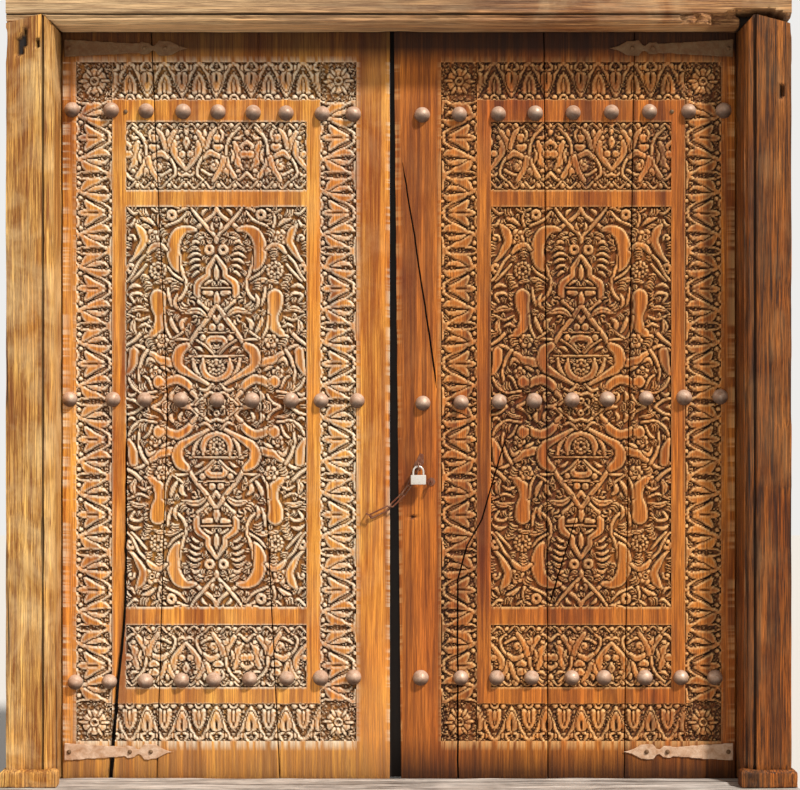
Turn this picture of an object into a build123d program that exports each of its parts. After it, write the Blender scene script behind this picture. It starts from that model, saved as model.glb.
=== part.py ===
from build123d import *
import math
import os

# Carved double door of thick planks in a heavy timber frame, in millimetres.
# X runs across the doorway, Y into the wall and Z up. The origin lies under the middle of the sill.

# Doorway
opening_width = 1870.0
opening_height = 2060.0
sill_height = 95.0
sill_depth = 290.0
sill_horn = 16.0
jamb_width = 126.0
frame_front = 100.0
frame_back = 100.0
lintel_height = 150.0
bead_width = 9.0
bead_depth = 7.0
jamb_rise = 27.0
jamb_shoulder_drop = 26.0
tenon_width = 46.0
tenon_depth = 70.0
tenon_length = 40.0
plinth_height = 48.0
plinth_proud = 14.0
plinth_chamfer = 8.0

# Rebates that the leaves close against
lip_back = 4.0
jamb_lip_back = 22.0
jamb_rebate = 31.0
lintel_rebate = 22.0
sill_rebate = 12.0

# Rotted corner of the lintel, over the right jamb
rot_length = 190.0
rot_height = 24.0
rot_depth = 75.0
rot_profile = ((0.28, 0.9), (0.5, 0.5), (0.78, 0.3), (1.0, -0.6), (0.7, -0.5))

# Leaves
leaf_front = 10.0
leaf_thickness = 55.0
leaf_front_layer = 30.0
leaf_side_gap = 5.0
leaf_top_gap = 7.0
leaf_foot_gap = 6.0
stile_setback = 18.0
pivot_overhang = 9.0
pivot_radius = 15.0
pivot_length = 42.0
socket_clearance = 0.3
plank_lap = 14.0
plank_gap_front = 3.0
plank_gap_back = 0.6

# Meeting edges, measured from the middle of the doorway at foot and head
left_edge = 25.0
right_edge_foot = 7.0
right_edge_head = -13.0
meeting_clearance = 2.0

# Plank joints of each leaf at foot, middle and head, from the middle of the doorway
left_joints = ((670.0, 641.0, 686.0), (329.0, 380.0, 390.0))
right_joints = ((624.0, 638.0, 653.0), (413.0, 410.0, 402.0))

# Battens on the back and the three rows of bosses that hold them
batten_height = 110.0
batten_thickness = 40.0
batten_setback = 80.0
batten_inner_end = 36.0
boss_row_foot_inset = 274.0
boss_row_middle_rise = 9.5
boss_row_head_inset = 233.0
boss_count = 9
left_boss_first, left_boss_side_inset = 122.0, 28.0
right_boss_first, right_boss_side_inset = 65.0, 41.0
boss_radius = 22.5
boss_waist_radius = 15.5
boss_waist_height = 9.0
boss_height = 15.0
boss_sides = 7
shank_side = 8.0
shank_tail = 6.0
edge_shank_length = 48.0

# Carving: a frame of borders round three panels, with figures left standing in a sunk ground
relief = 8.0
panel_middle = 505.0
panel_width = 500.0
border_width = 100.0
border_margin = 38.0
carving_foot_margin = 105.0
carving_head_margin = 95.0
strip_height = 105.0
low_panel_margin = 45.0
low_panel_height = 172.0
low_rail = 50.0
high_rail = 47.0
high_panel_height = 188.0
high_panel_margin = 61.0
zigzag_width = 12.0
zigzag_pitch = 63.0
zigzag_margin = 12.0
rosette_radius = 24.0
heart_spacing = 173.0
heart_reach = 30.0
heart_rise = 0.78
lean_reach = 45.0

# Straps
strap_thickness = 4.0
strap_root_height = 50.0
strap_neck_height = 27.0
strap_top_inset = 58.0
strap_foot_inset = 77.0
strap_top_length = 345.0
strap_foot_length = 305.0
strap_lobe_length = 72.0
strap_lobe_height = 44.0
strap_small_lobe = ((0.08, 0.8), (0.35, 0.75))
strap_waist = ((-0.1, 0.32), (0.0, 0.4))
strap_large_lobe = ((0.15, 1.0), (0.6, 0.92), (0.95, 0.3))
strap_root_gap = 4.0
strap_nail_radius = 6.0
strap_nail_height = 4.0
strap_nail_side = 4.0
strap_nail_length = 34.0

# Chain
link_bar = 4.2
link_width = 17.0
link_play = 0.7
link_chamfer = 0.9
link_corner_cut = 0.5
link_end_flat = 0.4
staple_x, staple_z = -74.8, 818.6
staple_leg_offset = (-14.0, 7.0)
staple_proud = 19.0
chain_gap_x = -24.0
chain_gap_z = 843.5
chain_gap = 1.4
chain_second = (12.0, 878.0)
chain_third = (29.4, 902.3)
link_rolls = (25.0, -48.0, 42.0, -32.0)
link_depths = (2.0, 1.0, -2.0, -2.5, -2.0, 0.0)
spike_length = 38.0

# Lock
eye_x, eye_z = 54.0, 959.0
eye_proud = 29.0
eye_radius = 9.5
eye_hole_radius = 5.5
eye_bar = 4.2
eye_facets = 8
eye_play = 0.75
eye_shank_radius = 2.9
lock_plate_thickness = 2.5
lock_plate_outline = ((-11, -9), (-4, -15), (8, -12), (17, 8), (14, 30), (4, 33), (-3, 16), (-12, 3))
old_eye_x, old_eye_z = 90.0, 913.0
old_rose_radius = 12.0
old_eye_proud = 20.0
padlock_width = 42.0
padlock_height = 26.0
padlock_thickness = 18.0
padlock_chamfer = 1.2
shackle_bar = 5.0
shackle_width = 33.0
shackle_rise = 24.0
crown_facets = 7
shackle_long_leg = 20.0
shackle_short_leg = 8.0
shackle_clearance = 0.3
plug_radius = 4.5
plug_length = 12.0
plug_clearance = 0.1
keyway_width = 1.6
keyway_length = 7.0
keyway_depth = 6.0

# Places that follow from the sizes above
half_opening = opening_width / 2
half_frame = half_opening + jamb_width
soffit = sill_height + opening_height
leaf_back = leaf_front + leaf_thickness
layer_back = leaf_front + leaf_front_layer
leaf_foot = sill_height - sill_rebate + leaf_foot_gap
leaf_head = soffit + lintel_rebate - leaf_top_gap
leaf_side = half_opening - leaf_side_gap
stile_front = leaf_front + stile_setback
stile_radius = (leaf_back - stile_front) / 2
axis_x = half_opening + pivot_overhang
axis_y = stile_front + stile_radius
strap_top_z = leaf_head - strap_top_inset
strap_foot_z = leaf_foot + strap_foot_inset
boss_rows = (
    leaf_foot + boss_row_foot_inset,
    (leaf_foot + leaf_head) / 2 + boss_row_middle_rise,
    leaf_head - boss_row_head_inset,
)
carving_foot = leaf_foot + carving_foot_margin
carving_head = leaf_head - carving_head_margin
low_panel_foot = carving_foot + strip_height + low_panel_margin
low_panel_head = low_panel_foot + low_panel_height
high_panel_head = carving_head - strip_height - high_panel_margin
high_panel_foot = high_panel_head - high_panel_height
main_panel_foot = low_panel_head + low_rail
main_panel_head = high_panel_foot - high_rail
eye_y = leaf_front - eye_proud
shackle_z = eye_z - eye_hole_radius + shackle_bar / 2 + eye_play


def slab(outline, front, back):
    """Solid between two depths from an outline drawn across X and Z."""
    return extrude(Plane.XZ.offset(-back) * outline, amount=back - front)


def block(x0, x1, y0, y1, z0, z1):
    """Box from its two corners."""
    middle = Pos((x0 + x1) / 2, (y0 + y1) / 2, (z0 + z1) / 2)
    return middle * Box(x1 - x0, y1 - y0, z1 - z0)


def across(part):
    """The same piece for the left side."""
    return mirror(part, about=Plane.YZ)


def rectangle(x0, x1, z0, z1):
    """Rectangle from its two corners, in an elevation."""
    return Pos((x0 + x1) / 2, (z0 + z1) / 2) * Rectangle(x1 - x0, z1 - z0)


# Frame

def jamb():
    """Right jamb: a beaded post with a rebate behind, a scribed head and a tenon at each end."""
    bead_edge = half_opening + 3 * bead_width
    section = Polygon(
        (half_opening, jamb_lip_back),
        (half_opening, -frame_front + 2 * bead_depth),
        (half_opening + bead_width, -frame_front + 2 * bead_depth),
        (half_opening + bead_width, -frame_front + bead_depth),
        (half_opening + 2 * bead_width, -frame_front + bead_depth),
        (bead_edge, -frame_front),
        (half_frame, -frame_front),
        (half_frame, frame_back),
        (half_opening + jamb_rebate, frame_back),
        (half_opening + jamb_rebate, jamb_lip_back),
    )
    post = Pos(0, 0, sill_height) * extrude(section, amount=opening_height + jamb_rise)
    waste = jamb_head_outline(2 * jamb_rise)
    post -= slab(waste, -frame_front, frame_back)
    return post + tenon(sill_height - tenon_length, sill_height) + tenon(
        soffit - jamb_rise, soffit + tenon_length
    )


def jamb_head_outline(height):
    """What the lintel keeps above a jamb, drawn from the scribed joint upwards."""
    peak_x = half_opening + 3 * bead_width
    return Polygon(
        (half_opening, soffit),
        (peak_x, soffit + jamb_rise),
        (half_frame, soffit + jamb_rise - jamb_shoulder_drop),
        (half_frame, soffit + height),
        (half_opening, soffit + height),
    )


def tenon(z0, z1):
    """Tenon in the middle of a jamb."""
    middle = half_frame - jamb_width / 2 + jamb_rebate / 2
    return block(
        middle - tenon_width / 2, middle + tenon_width / 2, -tenon_depth / 2, tenon_depth / 2, z0, z1
    )


def pivot_socket(z0, z1):
    """Room for a leaf's turning pivot."""
    return Pos(axis_x, axis_y, (z0 + z1) / 2) * Cylinder(pivot_radius + socket_clearance, z1 - z0)


def on_both_sides(tool):
    """A cutting tool and its mirror image."""
    return [tool, across(tool)]


def sill():
    """Threshold timber with a rebate behind the leaves' feet, mortises and pivot sockets."""
    timber = block(
        -half_frame - sill_horn, half_frame + sill_horn, -sill_depth / 2, sill_depth / 2, 0, sill_height
    )
    stop = half_opening + jamb_rebate
    timber -= block(-stop, stop, lip_back, sill_depth, sill_height - sill_rebate, sill_height)
    floor = leaf_foot - pivot_length - socket_clearance
    timber -= on_both_sides(pivot_socket(floor, sill_height))
    timber -= on_both_sides(tenon(sill_height - tenon_length, sill_height))
    return timber


def lintel():
    """Head timber, beaded below, scribed over the jambs, with its rotted lower corner."""
    top = soffit + lintel_height
    section = Polygon(
        (-frame_front + 2 * bead_depth, soffit),
        (lip_back, soffit),
        (lip_back, soffit + lintel_rebate),
        (frame_back, soffit + lintel_rebate),
        (frame_back, top),
        (-frame_front, top),
        (-frame_front, soffit + 3 * bead_width),
        (-frame_front + bead_depth, soffit + 2 * bead_width),
        (-frame_front + bead_depth, soffit + bead_width),
        (-frame_front + 2 * bead_depth, soffit + bead_width),
    )
    timber = extrude(Plane.YZ * section, amount=half_frame, both=True)
    head = block(
        half_opening + jamb_rebate, half_frame, lip_back, frame_back, soffit, soffit + lintel_height / 2
    )
    timber += on_both_sides(head)
    post = slab(
        rectangle(half_opening, half_frame, soffit - jamb_rise, soffit + jamb_rise)
        - jamb_head_outline(2 * jamb_rise),
        -frame_front,
        frame_back,
    )
    timber -= on_both_sides(post)
    ceiling = leaf_head + pivot_length + socket_clearance
    timber -= on_both_sides(pivot_socket(soffit, ceiling))
    timber -= on_both_sides(tenon(soffit - jamb_rise, soffit + tenon_length))
    return timber - slab(rot_outline(), -frame_front, -frame_front + rot_depth)


def rot_outline():
    """Ragged hollow where the lintel's corner has gone."""
    edge = soffit + jamb_rise
    ragged = [(half_frame - along * rot_length, edge + rise * rot_height) for along, rise in rot_profile]
    return Polygon((half_frame, soffit - jamb_rise), (half_frame, edge + rot_height / 5), *ragged)


def plinth_block():
    """Small block on the sill that wraps the jamb's foot at the front and the inner side."""
    body = block(
        half_opening - plinth_proud,
        half_frame + plinth_proud,
        -frame_front - plinth_proud,
        -frame_front + 4 * bead_depth,
        sill_height,
        sill_height + plinth_height,
    )
    top_edges = body.faces().sort_by(Axis.Z)[-1].edges()
    body = chamfer(top_edges, plinth_chamfer)
    hollow = block(
        half_opening, half_frame, -frame_front, frame_back, sill_height, sill_height + plinth_height
    )
    bead_seat = block(
        half_opening,
        half_opening + 2 * bead_width,
        -frame_front,
        -frame_front + bead_depth,
        sill_height,
        sill_height + plinth_height,
    )
    return body - (hollow - bead_seat - block(
        half_opening,
        half_opening + bead_width,
        -frame_front + bead_depth,
        -frame_front + 2 * bead_depth,
        sill_height,
        sill_height + plinth_height,
    ))


# Carving, drawn on the right leaf with u across and z up

def leaf_shape(start, end, outer, inner, chops=3):
    """Pointed leaf or crescent between two arcs that share their ends, cut in a few flat chops."""
    points = []
    for arc in (ThreePointArc(start, outer, end), ThreePointArc(end, inner, start)):
        points += [arc @ (i / chops) for i in range(chops)]
    return Polygon(*[(point.X, point.Y) for point in points])


def bar_shape(start, end, width):
    """Straight strap between two points."""
    run, rise = end[0] - start[0], end[1] - start[1]
    length = math.hypot(run, rise)
    middle = Pos((start[0] + end[0]) / 2, (start[1] + end[1]) / 2)
    return middle * Rot(0, 0, math.degrees(math.atan2(rise, run))) * Rectangle(length, width)


def zigzag(start, end, middle, height, upright):
    """Zigzag strap along a border, upright or level."""
    count = max(2, round((end - start) / zigzag_pitch))
    pitch = (end - start) / count
    swing = height / 2 - zigzag_margin
    half = zigzag_width / 2 * math.hypot(pitch, 2 * swing) / pitch
    near = [(start + i * pitch, middle + swing * (-1) ** i - half) for i in range(count + 1)]
    far = [(along, over + 2 * half) for along, over in reversed(near)]
    points = near + far
    if upright:
        points = [(over, along) for along, over in reversed(points)]
    return Polygon(*points)


def quarter_figures():
    """Main forms of a quarter of the large panel, from its middle outwards and upwards."""
    return [
        leaf_shape((60, 496), (103, 365), (140, 436), (99, 443)),
        leaf_shape((58, 318), (-3, 251), (54, 272), (36, 284)),
        leaf_shape((169, 326), (197, 195), (202, 269), (143, 262)),
        bar_shape((12, 252), (76, 169), 13),
        leaf_shape((46, 125), (-3, 59), (46, 80), (26, 96), 2),
        leaf_shape((108, 172), (53, 62), (122, 102), (86, 108)),
        leaf_shape((119, 133), (246, 154), (184, 166), (192, 142), 2),
        leaf_shape((74, 36), (184, 60), (112, 88), (124, 60), 2),
        leaf_shape((231, 492), (231, 428), (247, 461), (216, 461), 2),
        Pos(166, 368) * RegularPolygon(25, 6),
        Pos(182, 462) * RegularPolygon(20, 6),
    ]


def main_panel_figures():
    """The large panel: a quarter mirrored both ways, and the flames on its upright axis."""
    middle = (main_panel_foot + main_panel_head) / 2
    right_half = []
    for figure in quarter_figures():
        right_half += [figure, mirror(figure, about=Plane.XZ)]
    both = right_half + [mirror(figure, about=Plane.YZ) for figure in right_half]
    flame = leaf_shape((0, 405), (0, 326), (15, 352), (-15, 352))
    both += [flame, mirror(flame, about=Plane.XZ)]
    return [Pos(panel_middle, middle) * figure for figure in both]


def small_panel_figures(foot, head):
    """A low or high panel: two hearts with leaves leaning against them."""
    middle, half = (foot + head) / 2, (head - foot) / 2
    figures = []
    for heart in (-heart_spacing / 2, heart_spacing / 2):
        low, high = (heart, -heart_rise * half), (heart, heart_rise * half)
        figures.append(leaf_shape(low, high, (heart + heart_reach, 0), (heart - heart_reach, 0)))
        for lean in (-1, 1):
            low = (heart + lean * heart_reach, -heart_rise * half)
            high = (heart + lean * (heart_reach + lean_reach), heart_rise * half)
            outer = (heart + lean * (heart_reach + 0.8 * lean_reach), -0.1 * half)
            inner = (heart + lean * (heart_reach + 0.4 * lean_reach), 0)
            figures.append(leaf_shape(low, high, outer, inner, 2))
    return [Pos(panel_middle, middle) * figure for figure in figures]


def sunk_ground():
    """Everything that the carver cut away, as one tool for all the planks of a leaf."""
    half = panel_width / 2
    inner0, inner1 = panel_middle - half - border_margin, panel_middle + half + border_margin
    outer0, outer1 = inner0 - border_width, inner1 + border_width
    low1, high0 = carving_foot + strip_height, carving_head - strip_height
    ring = rectangle(outer0, outer1, carving_foot, carving_head) - rectangle(inner0, inner1, low1, high0)
    figures = []
    for middle in ((outer0 + inner0) / 2, (outer1 + inner1) / 2):
        figures.append(zigzag(low1, high0, middle, border_width, True))
        for corner in ((carving_foot + low1) / 2, (carving_head + high0) / 2):
            figures.append(Pos(middle, corner) * RegularPolygon(rosette_radius, 6))
    for middle in ((carving_foot + low1) / 2, (carving_head + high0) / 2):
        figures.append(zigzag(inner0, inner1, middle, strip_height, False))
    left, right = panel_middle - half, panel_middle + half
    grounds = [
        ring - figures,
        rectangle(left, right, main_panel_foot, main_panel_head) - main_panel_figures(),
        rectangle(left, right, low_panel_foot, low_panel_head)
        - small_panel_figures(low_panel_foot, low_panel_head),
        rectangle(left, right, high_panel_foot, high_panel_head)
        - small_panel_figures(high_panel_foot, high_panel_head),
    ]
    return [slab(face, leaf_front, leaf_front + relief) for ground in grounds for face in ground.faces()]


# Leaves, drawn on the right

def plank_layer(inner, outer, front, back):
    """One layer of a plank between two edges, each given at foot, middle and head."""
    heights = (leaf_foot, (leaf_foot + leaf_head) / 2, leaf_head)
    inner_edge = list(zip(inner, heights))
    outer_edge = list(zip(outer, heights))
    return slab(Polygon(*outer_edge, *reversed(inner_edge)), front, back)


def shifted(edge, move):
    """An edge moved across the leaf."""
    return tuple(u + move for u in edge)


def plank(inner, outer, inner_back=None, outer_back=None):
    """Half-lapped plank: its back layer reaches under the next one towards the meeting edge."""
    front = plank_layer(inner, outer, leaf_front, layer_back)
    back = plank_layer(inner_back or inner, outer_back or outer, layer_back, leaf_back)
    return front + back


def planks(joints, meeting_front, meeting_back, ground):
    """Hinge, middle and meeting planks of one leaf, carved."""
    front_gap, back_gap = plank_gap_front / 2, plank_gap_back / 2
    laps = [shifted(joint, -plank_lap) for joint in joints]
    side = (leaf_side,) * 3
    axis = (axis_x,) * 3
    hinge = plank_layer(shifted(joints[0], front_gap), side, leaf_front, stile_front)
    hinge += plank_layer(shifted(joints[0], front_gap), axis, stile_front, layer_back)
    hinge += plank_layer(shifted(laps[0], back_gap), axis, layer_back, leaf_back)
    height = leaf_head - leaf_foot
    middle_z = (leaf_head + leaf_foot) / 2
    hinge += Pos(axis_x, axis_y, middle_z) * Cylinder(stile_radius, height)
    hinge += Pos(axis_x, axis_y, middle_z) * Cylinder(pivot_radius, height + 2 * pivot_length)
    middle = plank(
        shifted(joints[1], front_gap),
        shifted(joints[0], -front_gap),
        shifted(laps[1], back_gap),
        shifted(laps[0], -back_gap),
    )
    meeting = plank(
        meeting_front, shifted(joints[1], -front_gap), meeting_back, shifted(laps[1], -back_gap)
    )
    return hinge - ground, middle - ground, meeting - ground


def batten(z):
    """Cross batten on the back, behind a row of bosses."""
    outer = axis_x - batten_setback
    return block(
        batten_inner_end, outer, leaf_back, leaf_back + batten_thickness,
        z - batten_height / 2, z + batten_height / 2,
    )


def boss(shank_length):
    """Forged nail: a faceted dome drawn to a blunt point, on a square shank, pointing towards -Y."""
    ring = [2 * math.pi * i / boss_sides for i in range(boss_sides)]
    points = [(boss_radius * math.cos(a), 0, boss_radius * math.sin(a)) for a in ring]
    points += [
        (boss_waist_radius * math.cos(a), -boss_waist_height, boss_waist_radius * math.sin(a))
        for a in ring
    ]
    points.append((0, -boss_height, 0))
    return ConvexPolyhedron(points) + block(
        -shank_side / 2, shank_side / 2, 0, shank_length, -shank_side / 2, shank_side / 2
    )


def bosses(first, last):
    """All the bosses of one leaf: nine in each of three rows, the outermost beyond the batten's end."""
    pitch = (last - first) / (boss_count - 1)
    through = boss(leaf_thickness + batten_thickness + shank_tail)
    nails = [through] * (boss_count - 1) + [boss(edge_shank_length)]
    return [
        Pos(first + i * pitch, leaf_front, z) * nail for z in boss_rows for i, nail in enumerate(nails)
    ]


def strap_lobes(length):
    """Where a strap's small lobe, neck, large lobe and tip lie, from its root."""
    large = length - 1.3 * strap_lobe_length
    small = large - 0.6 * strap_lobe_length
    return small, large


def strap(length, z):
    """Tapered strap whose far end is forged into two lobes and a point."""
    root = leaf_side - strap_root_gap
    small, large = strap_lobes(length)
    neck = strap_neck_height / 2
    lobe = strap_lobe_height / 2
    upper = [
        (0, strap_root_height / 2),
        (small, neck),
    ]
    for begin, profile in ((small, strap_small_lobe), (large, strap_waist), (large, strap_large_lobe)):
        upper += [(begin + along * strap_lobe_length, over * lobe) for along, over in profile]
    upper.append((length, 0))
    outline = [(root - along, z + over) for along, over in upper]
    outline += [(root - along, z - over) for along, over in reversed(upper[:-1])]
    return slab(Polygon(*outline), leaf_front - strap_thickness, leaf_front)


def strap_nails():
    """Nails of both straps of a leaf: at the root and in each lobe."""
    nails = []
    for length, z in ((strap_top_length, strap_top_z), (strap_foot_length, strap_foot_z)):
        small, large = strap_lobes(length)
        spots = (0.2 * strap_lobe_length, small + 0.2 * strap_lobe_length, large + 0.4 * strap_lobe_length)
        for along in spots:
            head = Pos(leaf_side - strap_root_gap - along, z) * RegularPolygon(strap_nail_radius, 4)
            face = leaf_front - strap_thickness
            nail = slab(head, face - strap_nail_height, face)
            half = strap_nail_side / 2
            u = leaf_side - strap_root_gap - along
            nails.append(nail + block(u - half, u + half, face, face + strap_nail_length, z - half, z + half))
    return nails


# Chain

def chain_link(start, end, roll):
    """Hand-forged link between two pivot points, flat facets round its bar, rolled about its length."""
    start, end = Vector(*start), Vector(*end)
    half = (end - start).length / 2 + link_play / 2
    outer, width = half + link_bar, link_width / 2
    hole = width - link_bar
    ring = stadium(outer, width) - stadium(half, hole)
    body = Pos(0, 0, -link_bar / 2) * extrude(ring, amount=link_bar)
    body = chamfer(body.edges().filter_by(Axis.Z, reverse=True), link_chamfer)
    along = (end - start).normalized()
    normal = Vector(0, -1, 0) - along * along.dot(Vector(0, -1, 0))
    placed = Plane(origin=(start + end) / 2, x_dir=along, z_dir=normal)
    return placed.location * Rot(roll, 0, 0) * body


def stadium(half_length, half_width):
    """Eight-sided long ring outline."""
    cut = half_width * link_corner_cut
    corners = [(half_length, half_width * link_end_flat), (half_length - cut, half_width)]
    upper = corners + [(-x, y) for x, y in reversed(corners)]
    return Polygon(*upper, *[(x, -y) for x, y in reversed(upper)])


def toward(start, end, reach):
    """Point at a distance from start on the way to end, in an elevation."""
    run, rise = end[0] - start[0], end[1] - start[1]
    length = math.hypot(run, rise)
    return (start[0] + run * reach / length, start[1] + rise * reach / length)


def chain_links():
    """Four links from the staple to the eye; the loop is open between the first and the second."""
    staple, eye = (staple_x, staple_z), (eye_x, eye_z)
    middle = (chain_gap_x, chain_gap_z)
    seat = link_bar / 2 + link_play / 2
    first_start = toward(staple, middle, -seat)
    reach = link_bar + link_play / 2 + chain_gap / 2
    first_end = toward(middle, staple, reach)
    second_start = toward(middle, chain_second, reach)
    last_end = toward(eye, chain_third, -eye_shank_radius - link_play / 2)
    depths = link_depths
    spans = [
        (first_start, depths[0], first_end, depths[1]),
        (second_start, depths[2], chain_second, depths[3]),
        (chain_second, depths[3], chain_third, depths[4]),
        (chain_third, depths[4], last_end, depths[5]),
    ]
    return [
        chain_link((a[0], y0, a[1]), (b[0], y1, b[1]), roll)
        for (a, y0, b, y1), roll in zip(spans, link_rolls)
    ]


def chain_staple():
    """Two legs driven into the left meeting plank, joined by a bow in front of the first link."""
    x0, z0 = staple_x, staple_z
    x1, z1 = x0 + staple_leg_offset[0], z0 + staple_leg_offset[1]
    front = leaf_front - staple_proud
    leg = RegularPolygon(link_bar / 2, 8, major_radius=False)
    legs = [slab(Pos(x, z) * leg, front, leaf_front + spike_length) for x, z in ((x0, z0), (x1, z1))]
    bow = slab(bar_shape((x0, z0), (x1, z1), link_bar), front, front + link_bar)
    return bow + legs


def eye_spike(x, z, proud, hole_radius, outer_radius, shank_radius):
    """Spike with an eye at its outer end, the eye's hole running across the doorway."""
    middle_y = leaf_front - proud
    ring = RegularPolygon(outer_radius, eye_facets)
    ring -= RegularPolygon(hole_radius, eye_facets, major_radius=False)
    eye = extrude(Plane.YZ * ring, amount=eye_bar / 2, both=True)
    shank = slab(
        RegularPolygon(shank_radius, 8, major_radius=False),
        middle_y + outer_radius - 0.7 * (outer_radius - hole_radius),
        leaf_front + spike_length,
    )
    return Pos(x, 0, z) * (Pos(0, middle_y, 0) * eye + shank)


def lock_plate():
    """Rusty plate behind the eye, wider above."""
    hole = RegularPolygon(eye_shank_radius, 8, major_radius=False)
    plate = Polygon(*lock_plate_outline) - hole
    return slab(Pos(eye_x, eye_z) * plate, leaf_front - lock_plate_thickness, leaf_front)


def old_rose():
    """Eight-sided rose under the older eye."""
    outline = RegularPolygon(old_rose_radius, 8) - RegularPolygon(eye_shank_radius, 8, major_radius=False)
    return slab(Pos(old_eye_x, old_eye_z) * outline, leaf_front - lock_plate_thickness, leaf_front)


# Padlock

def shackle_outline(reach, rise, long_leg, short_leg):
    """Outline of a bow with two legs, its crown a half ring of flat facets."""
    crown = [math.radians(180 * i / crown_facets) for i in range(crown_facets + 1)]
    arch = [(reach * math.cos(a), rise - reach + reach * math.sin(a)) for a in crown]
    return [(reach, -short_leg)] + arch + [(-reach, -long_leg)]


def padlock_shackle():
    """Faceted bow, long leg on the left and short leg on the right."""
    outer_reach = shackle_width / 2
    inner_reach = outer_reach - shackle_bar
    crown_top = shackle_rise + shackle_bar / 2
    outer = shackle_outline(outer_reach, crown_top, shackle_long_leg, shackle_short_leg)
    inner = shackle_outline(inner_reach, crown_top - shackle_bar, shackle_long_leg, shackle_short_leg)
    middle = inner_reach + shackle_bar / 2
    bow = Polygon(*outer) - Polygon(*inner)
    trim = rectangle(0, middle, -shackle_long_leg - 1, -shackle_short_leg)
    top = shackle_z - shackle_rise
    body = slab(bow - trim, -shackle_bar / 2, shackle_bar / 2)
    body = chamfer(body.edges().filter_by(Axis.Y, reverse=True), shackle_bar / 5)
    return Pos(eye_x, eye_y, top) * body


def padlock_body():
    """Body with square bores for the legs and a round one for the plug, in its place."""
    half = padlock_width / 2
    top = shackle_z - shackle_rise
    foot = top - padlock_height
    body = block(-half, half, -padlock_thickness / 2, padlock_thickness / 2, foot, top)
    body = chamfer(body.edges(), padlock_chamfer)
    leg = shackle_width / 2 - shackle_bar / 2
    side = shackle_bar + 2 * shackle_clearance
    bores = [
        Pos(-leg, 0, top - shackle_long_leg / 2 - 1) * Box(side, side, shackle_long_leg + 2),
        Pos(leg, 0, top - shackle_short_leg / 2 - 1) * Box(side, side, shackle_short_leg + 2),
        Pos(0, 0, foot + plug_length / 2) * Cylinder(plug_radius + plug_clearance, plug_length),
    ]
    return Pos(eye_x, eye_y, 0) * (body - bores)


def padlock_plug():
    """Turning plug with its keyway, flush with the padlock's foot."""
    foot = shackle_z - shackle_rise - padlock_height
    length = plug_length - plug_clearance
    plug = Pos(0, 0, foot + length / 2) * Cylinder(plug_radius, length)
    keyway = Pos(0, 0, foot + keyway_depth / 2) * Box(keyway_width, keyway_length, keyway_depth)
    return Pos(eye_x, eye_y, 0) * (plug - keyway)


def build():
    """All the pieces by name."""
    ground = sunk_ground()
    right_edge = (right_edge_foot, (right_edge_foot + right_edge_head) / 2, right_edge_head)
    tongue = (meeting_clearance - left_edge,) * 3
    straight = (left_edge,) * 3
    rows = {
        "right": bosses(right_boss_first, leaf_side - right_boss_side_inset),
        "left": bosses(left_boss_first, leaf_side - left_boss_side_inset),
    }
    leaves = {
        "right": planks(right_joints, right_edge, tongue, ground),
        "left": planks(left_joints, straight, straight, ground),
    }
    pieces = {
        "sill": sill(),
        "lintel": lintel(),
        "jamb_right": jamb(),
        "jamb_left": across(jamb()),
        "plinth_block_right": plinth_block(),
        "plinth_block_left": across(plinth_block()),
    }
    for side, (hinge, middle, meeting) in leaves.items():
        leaf = {
            "hinge_plank": hinge,
            "middle_plank": middle,
            "meeting_plank": meeting,
            "batten_foot": batten(boss_rows[0]),
            "batten_middle": batten(boss_rows[1]),
            "batten_head": batten(boss_rows[2]),
            "bosses": Compound(children=rows[side]),
            "strap_top": strap(strap_top_length, strap_top_z),
            "strap_foot": strap(strap_foot_length, strap_foot_z),
            "strap_nails": Compound(children=strap_nails()),
        }
        for name, piece in leaf.items():
            pieces[f"{side}_{name}"] = across(piece) if side == "left" else piece
    for index, link in enumerate(chain_links(), start=1):
        pieces[f"chain_link_{index}"] = link
    pieces["chain_staple"] = chain_staple()
    pieces["lock_plate"] = lock_plate()
    pieces["lock_eye"] = eye_spike(eye_x, eye_z, eye_proud, eye_hole_radius, eye_radius, eye_shank_radius)
    pieces["old_rose"] = old_rose()
    pieces["old_eye"] = eye_spike(
        old_eye_x, old_eye_z, old_eye_proud, eye_hole_radius, eye_radius, eye_shank_radius
    )
    pieces["padlock_shackle"] = padlock_shackle()
    pieces["padlock_body"] = padlock_body()
    pieces["padlock_plug"] = padlock_plug()
    return pieces


os.makedirs("parts", exist_ok=True)
for name, piece in build().items():
    export_step(piece, f"parts/{name}.step")
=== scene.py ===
"""Carved double door in its frame: carving, timber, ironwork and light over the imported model.

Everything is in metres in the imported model's own frame: X across the doorway, Y into the wall, Z up.
The carving is drawn with a small set of gouge shapes on tiles whose unit is a step of the carver's
own grid, and the tiles are mirrored and repeated over the leaves as they are on the real door.
"""

import logging
import math
from dataclasses import dataclass, field
from enum import Enum
from typing import Sequence

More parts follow.
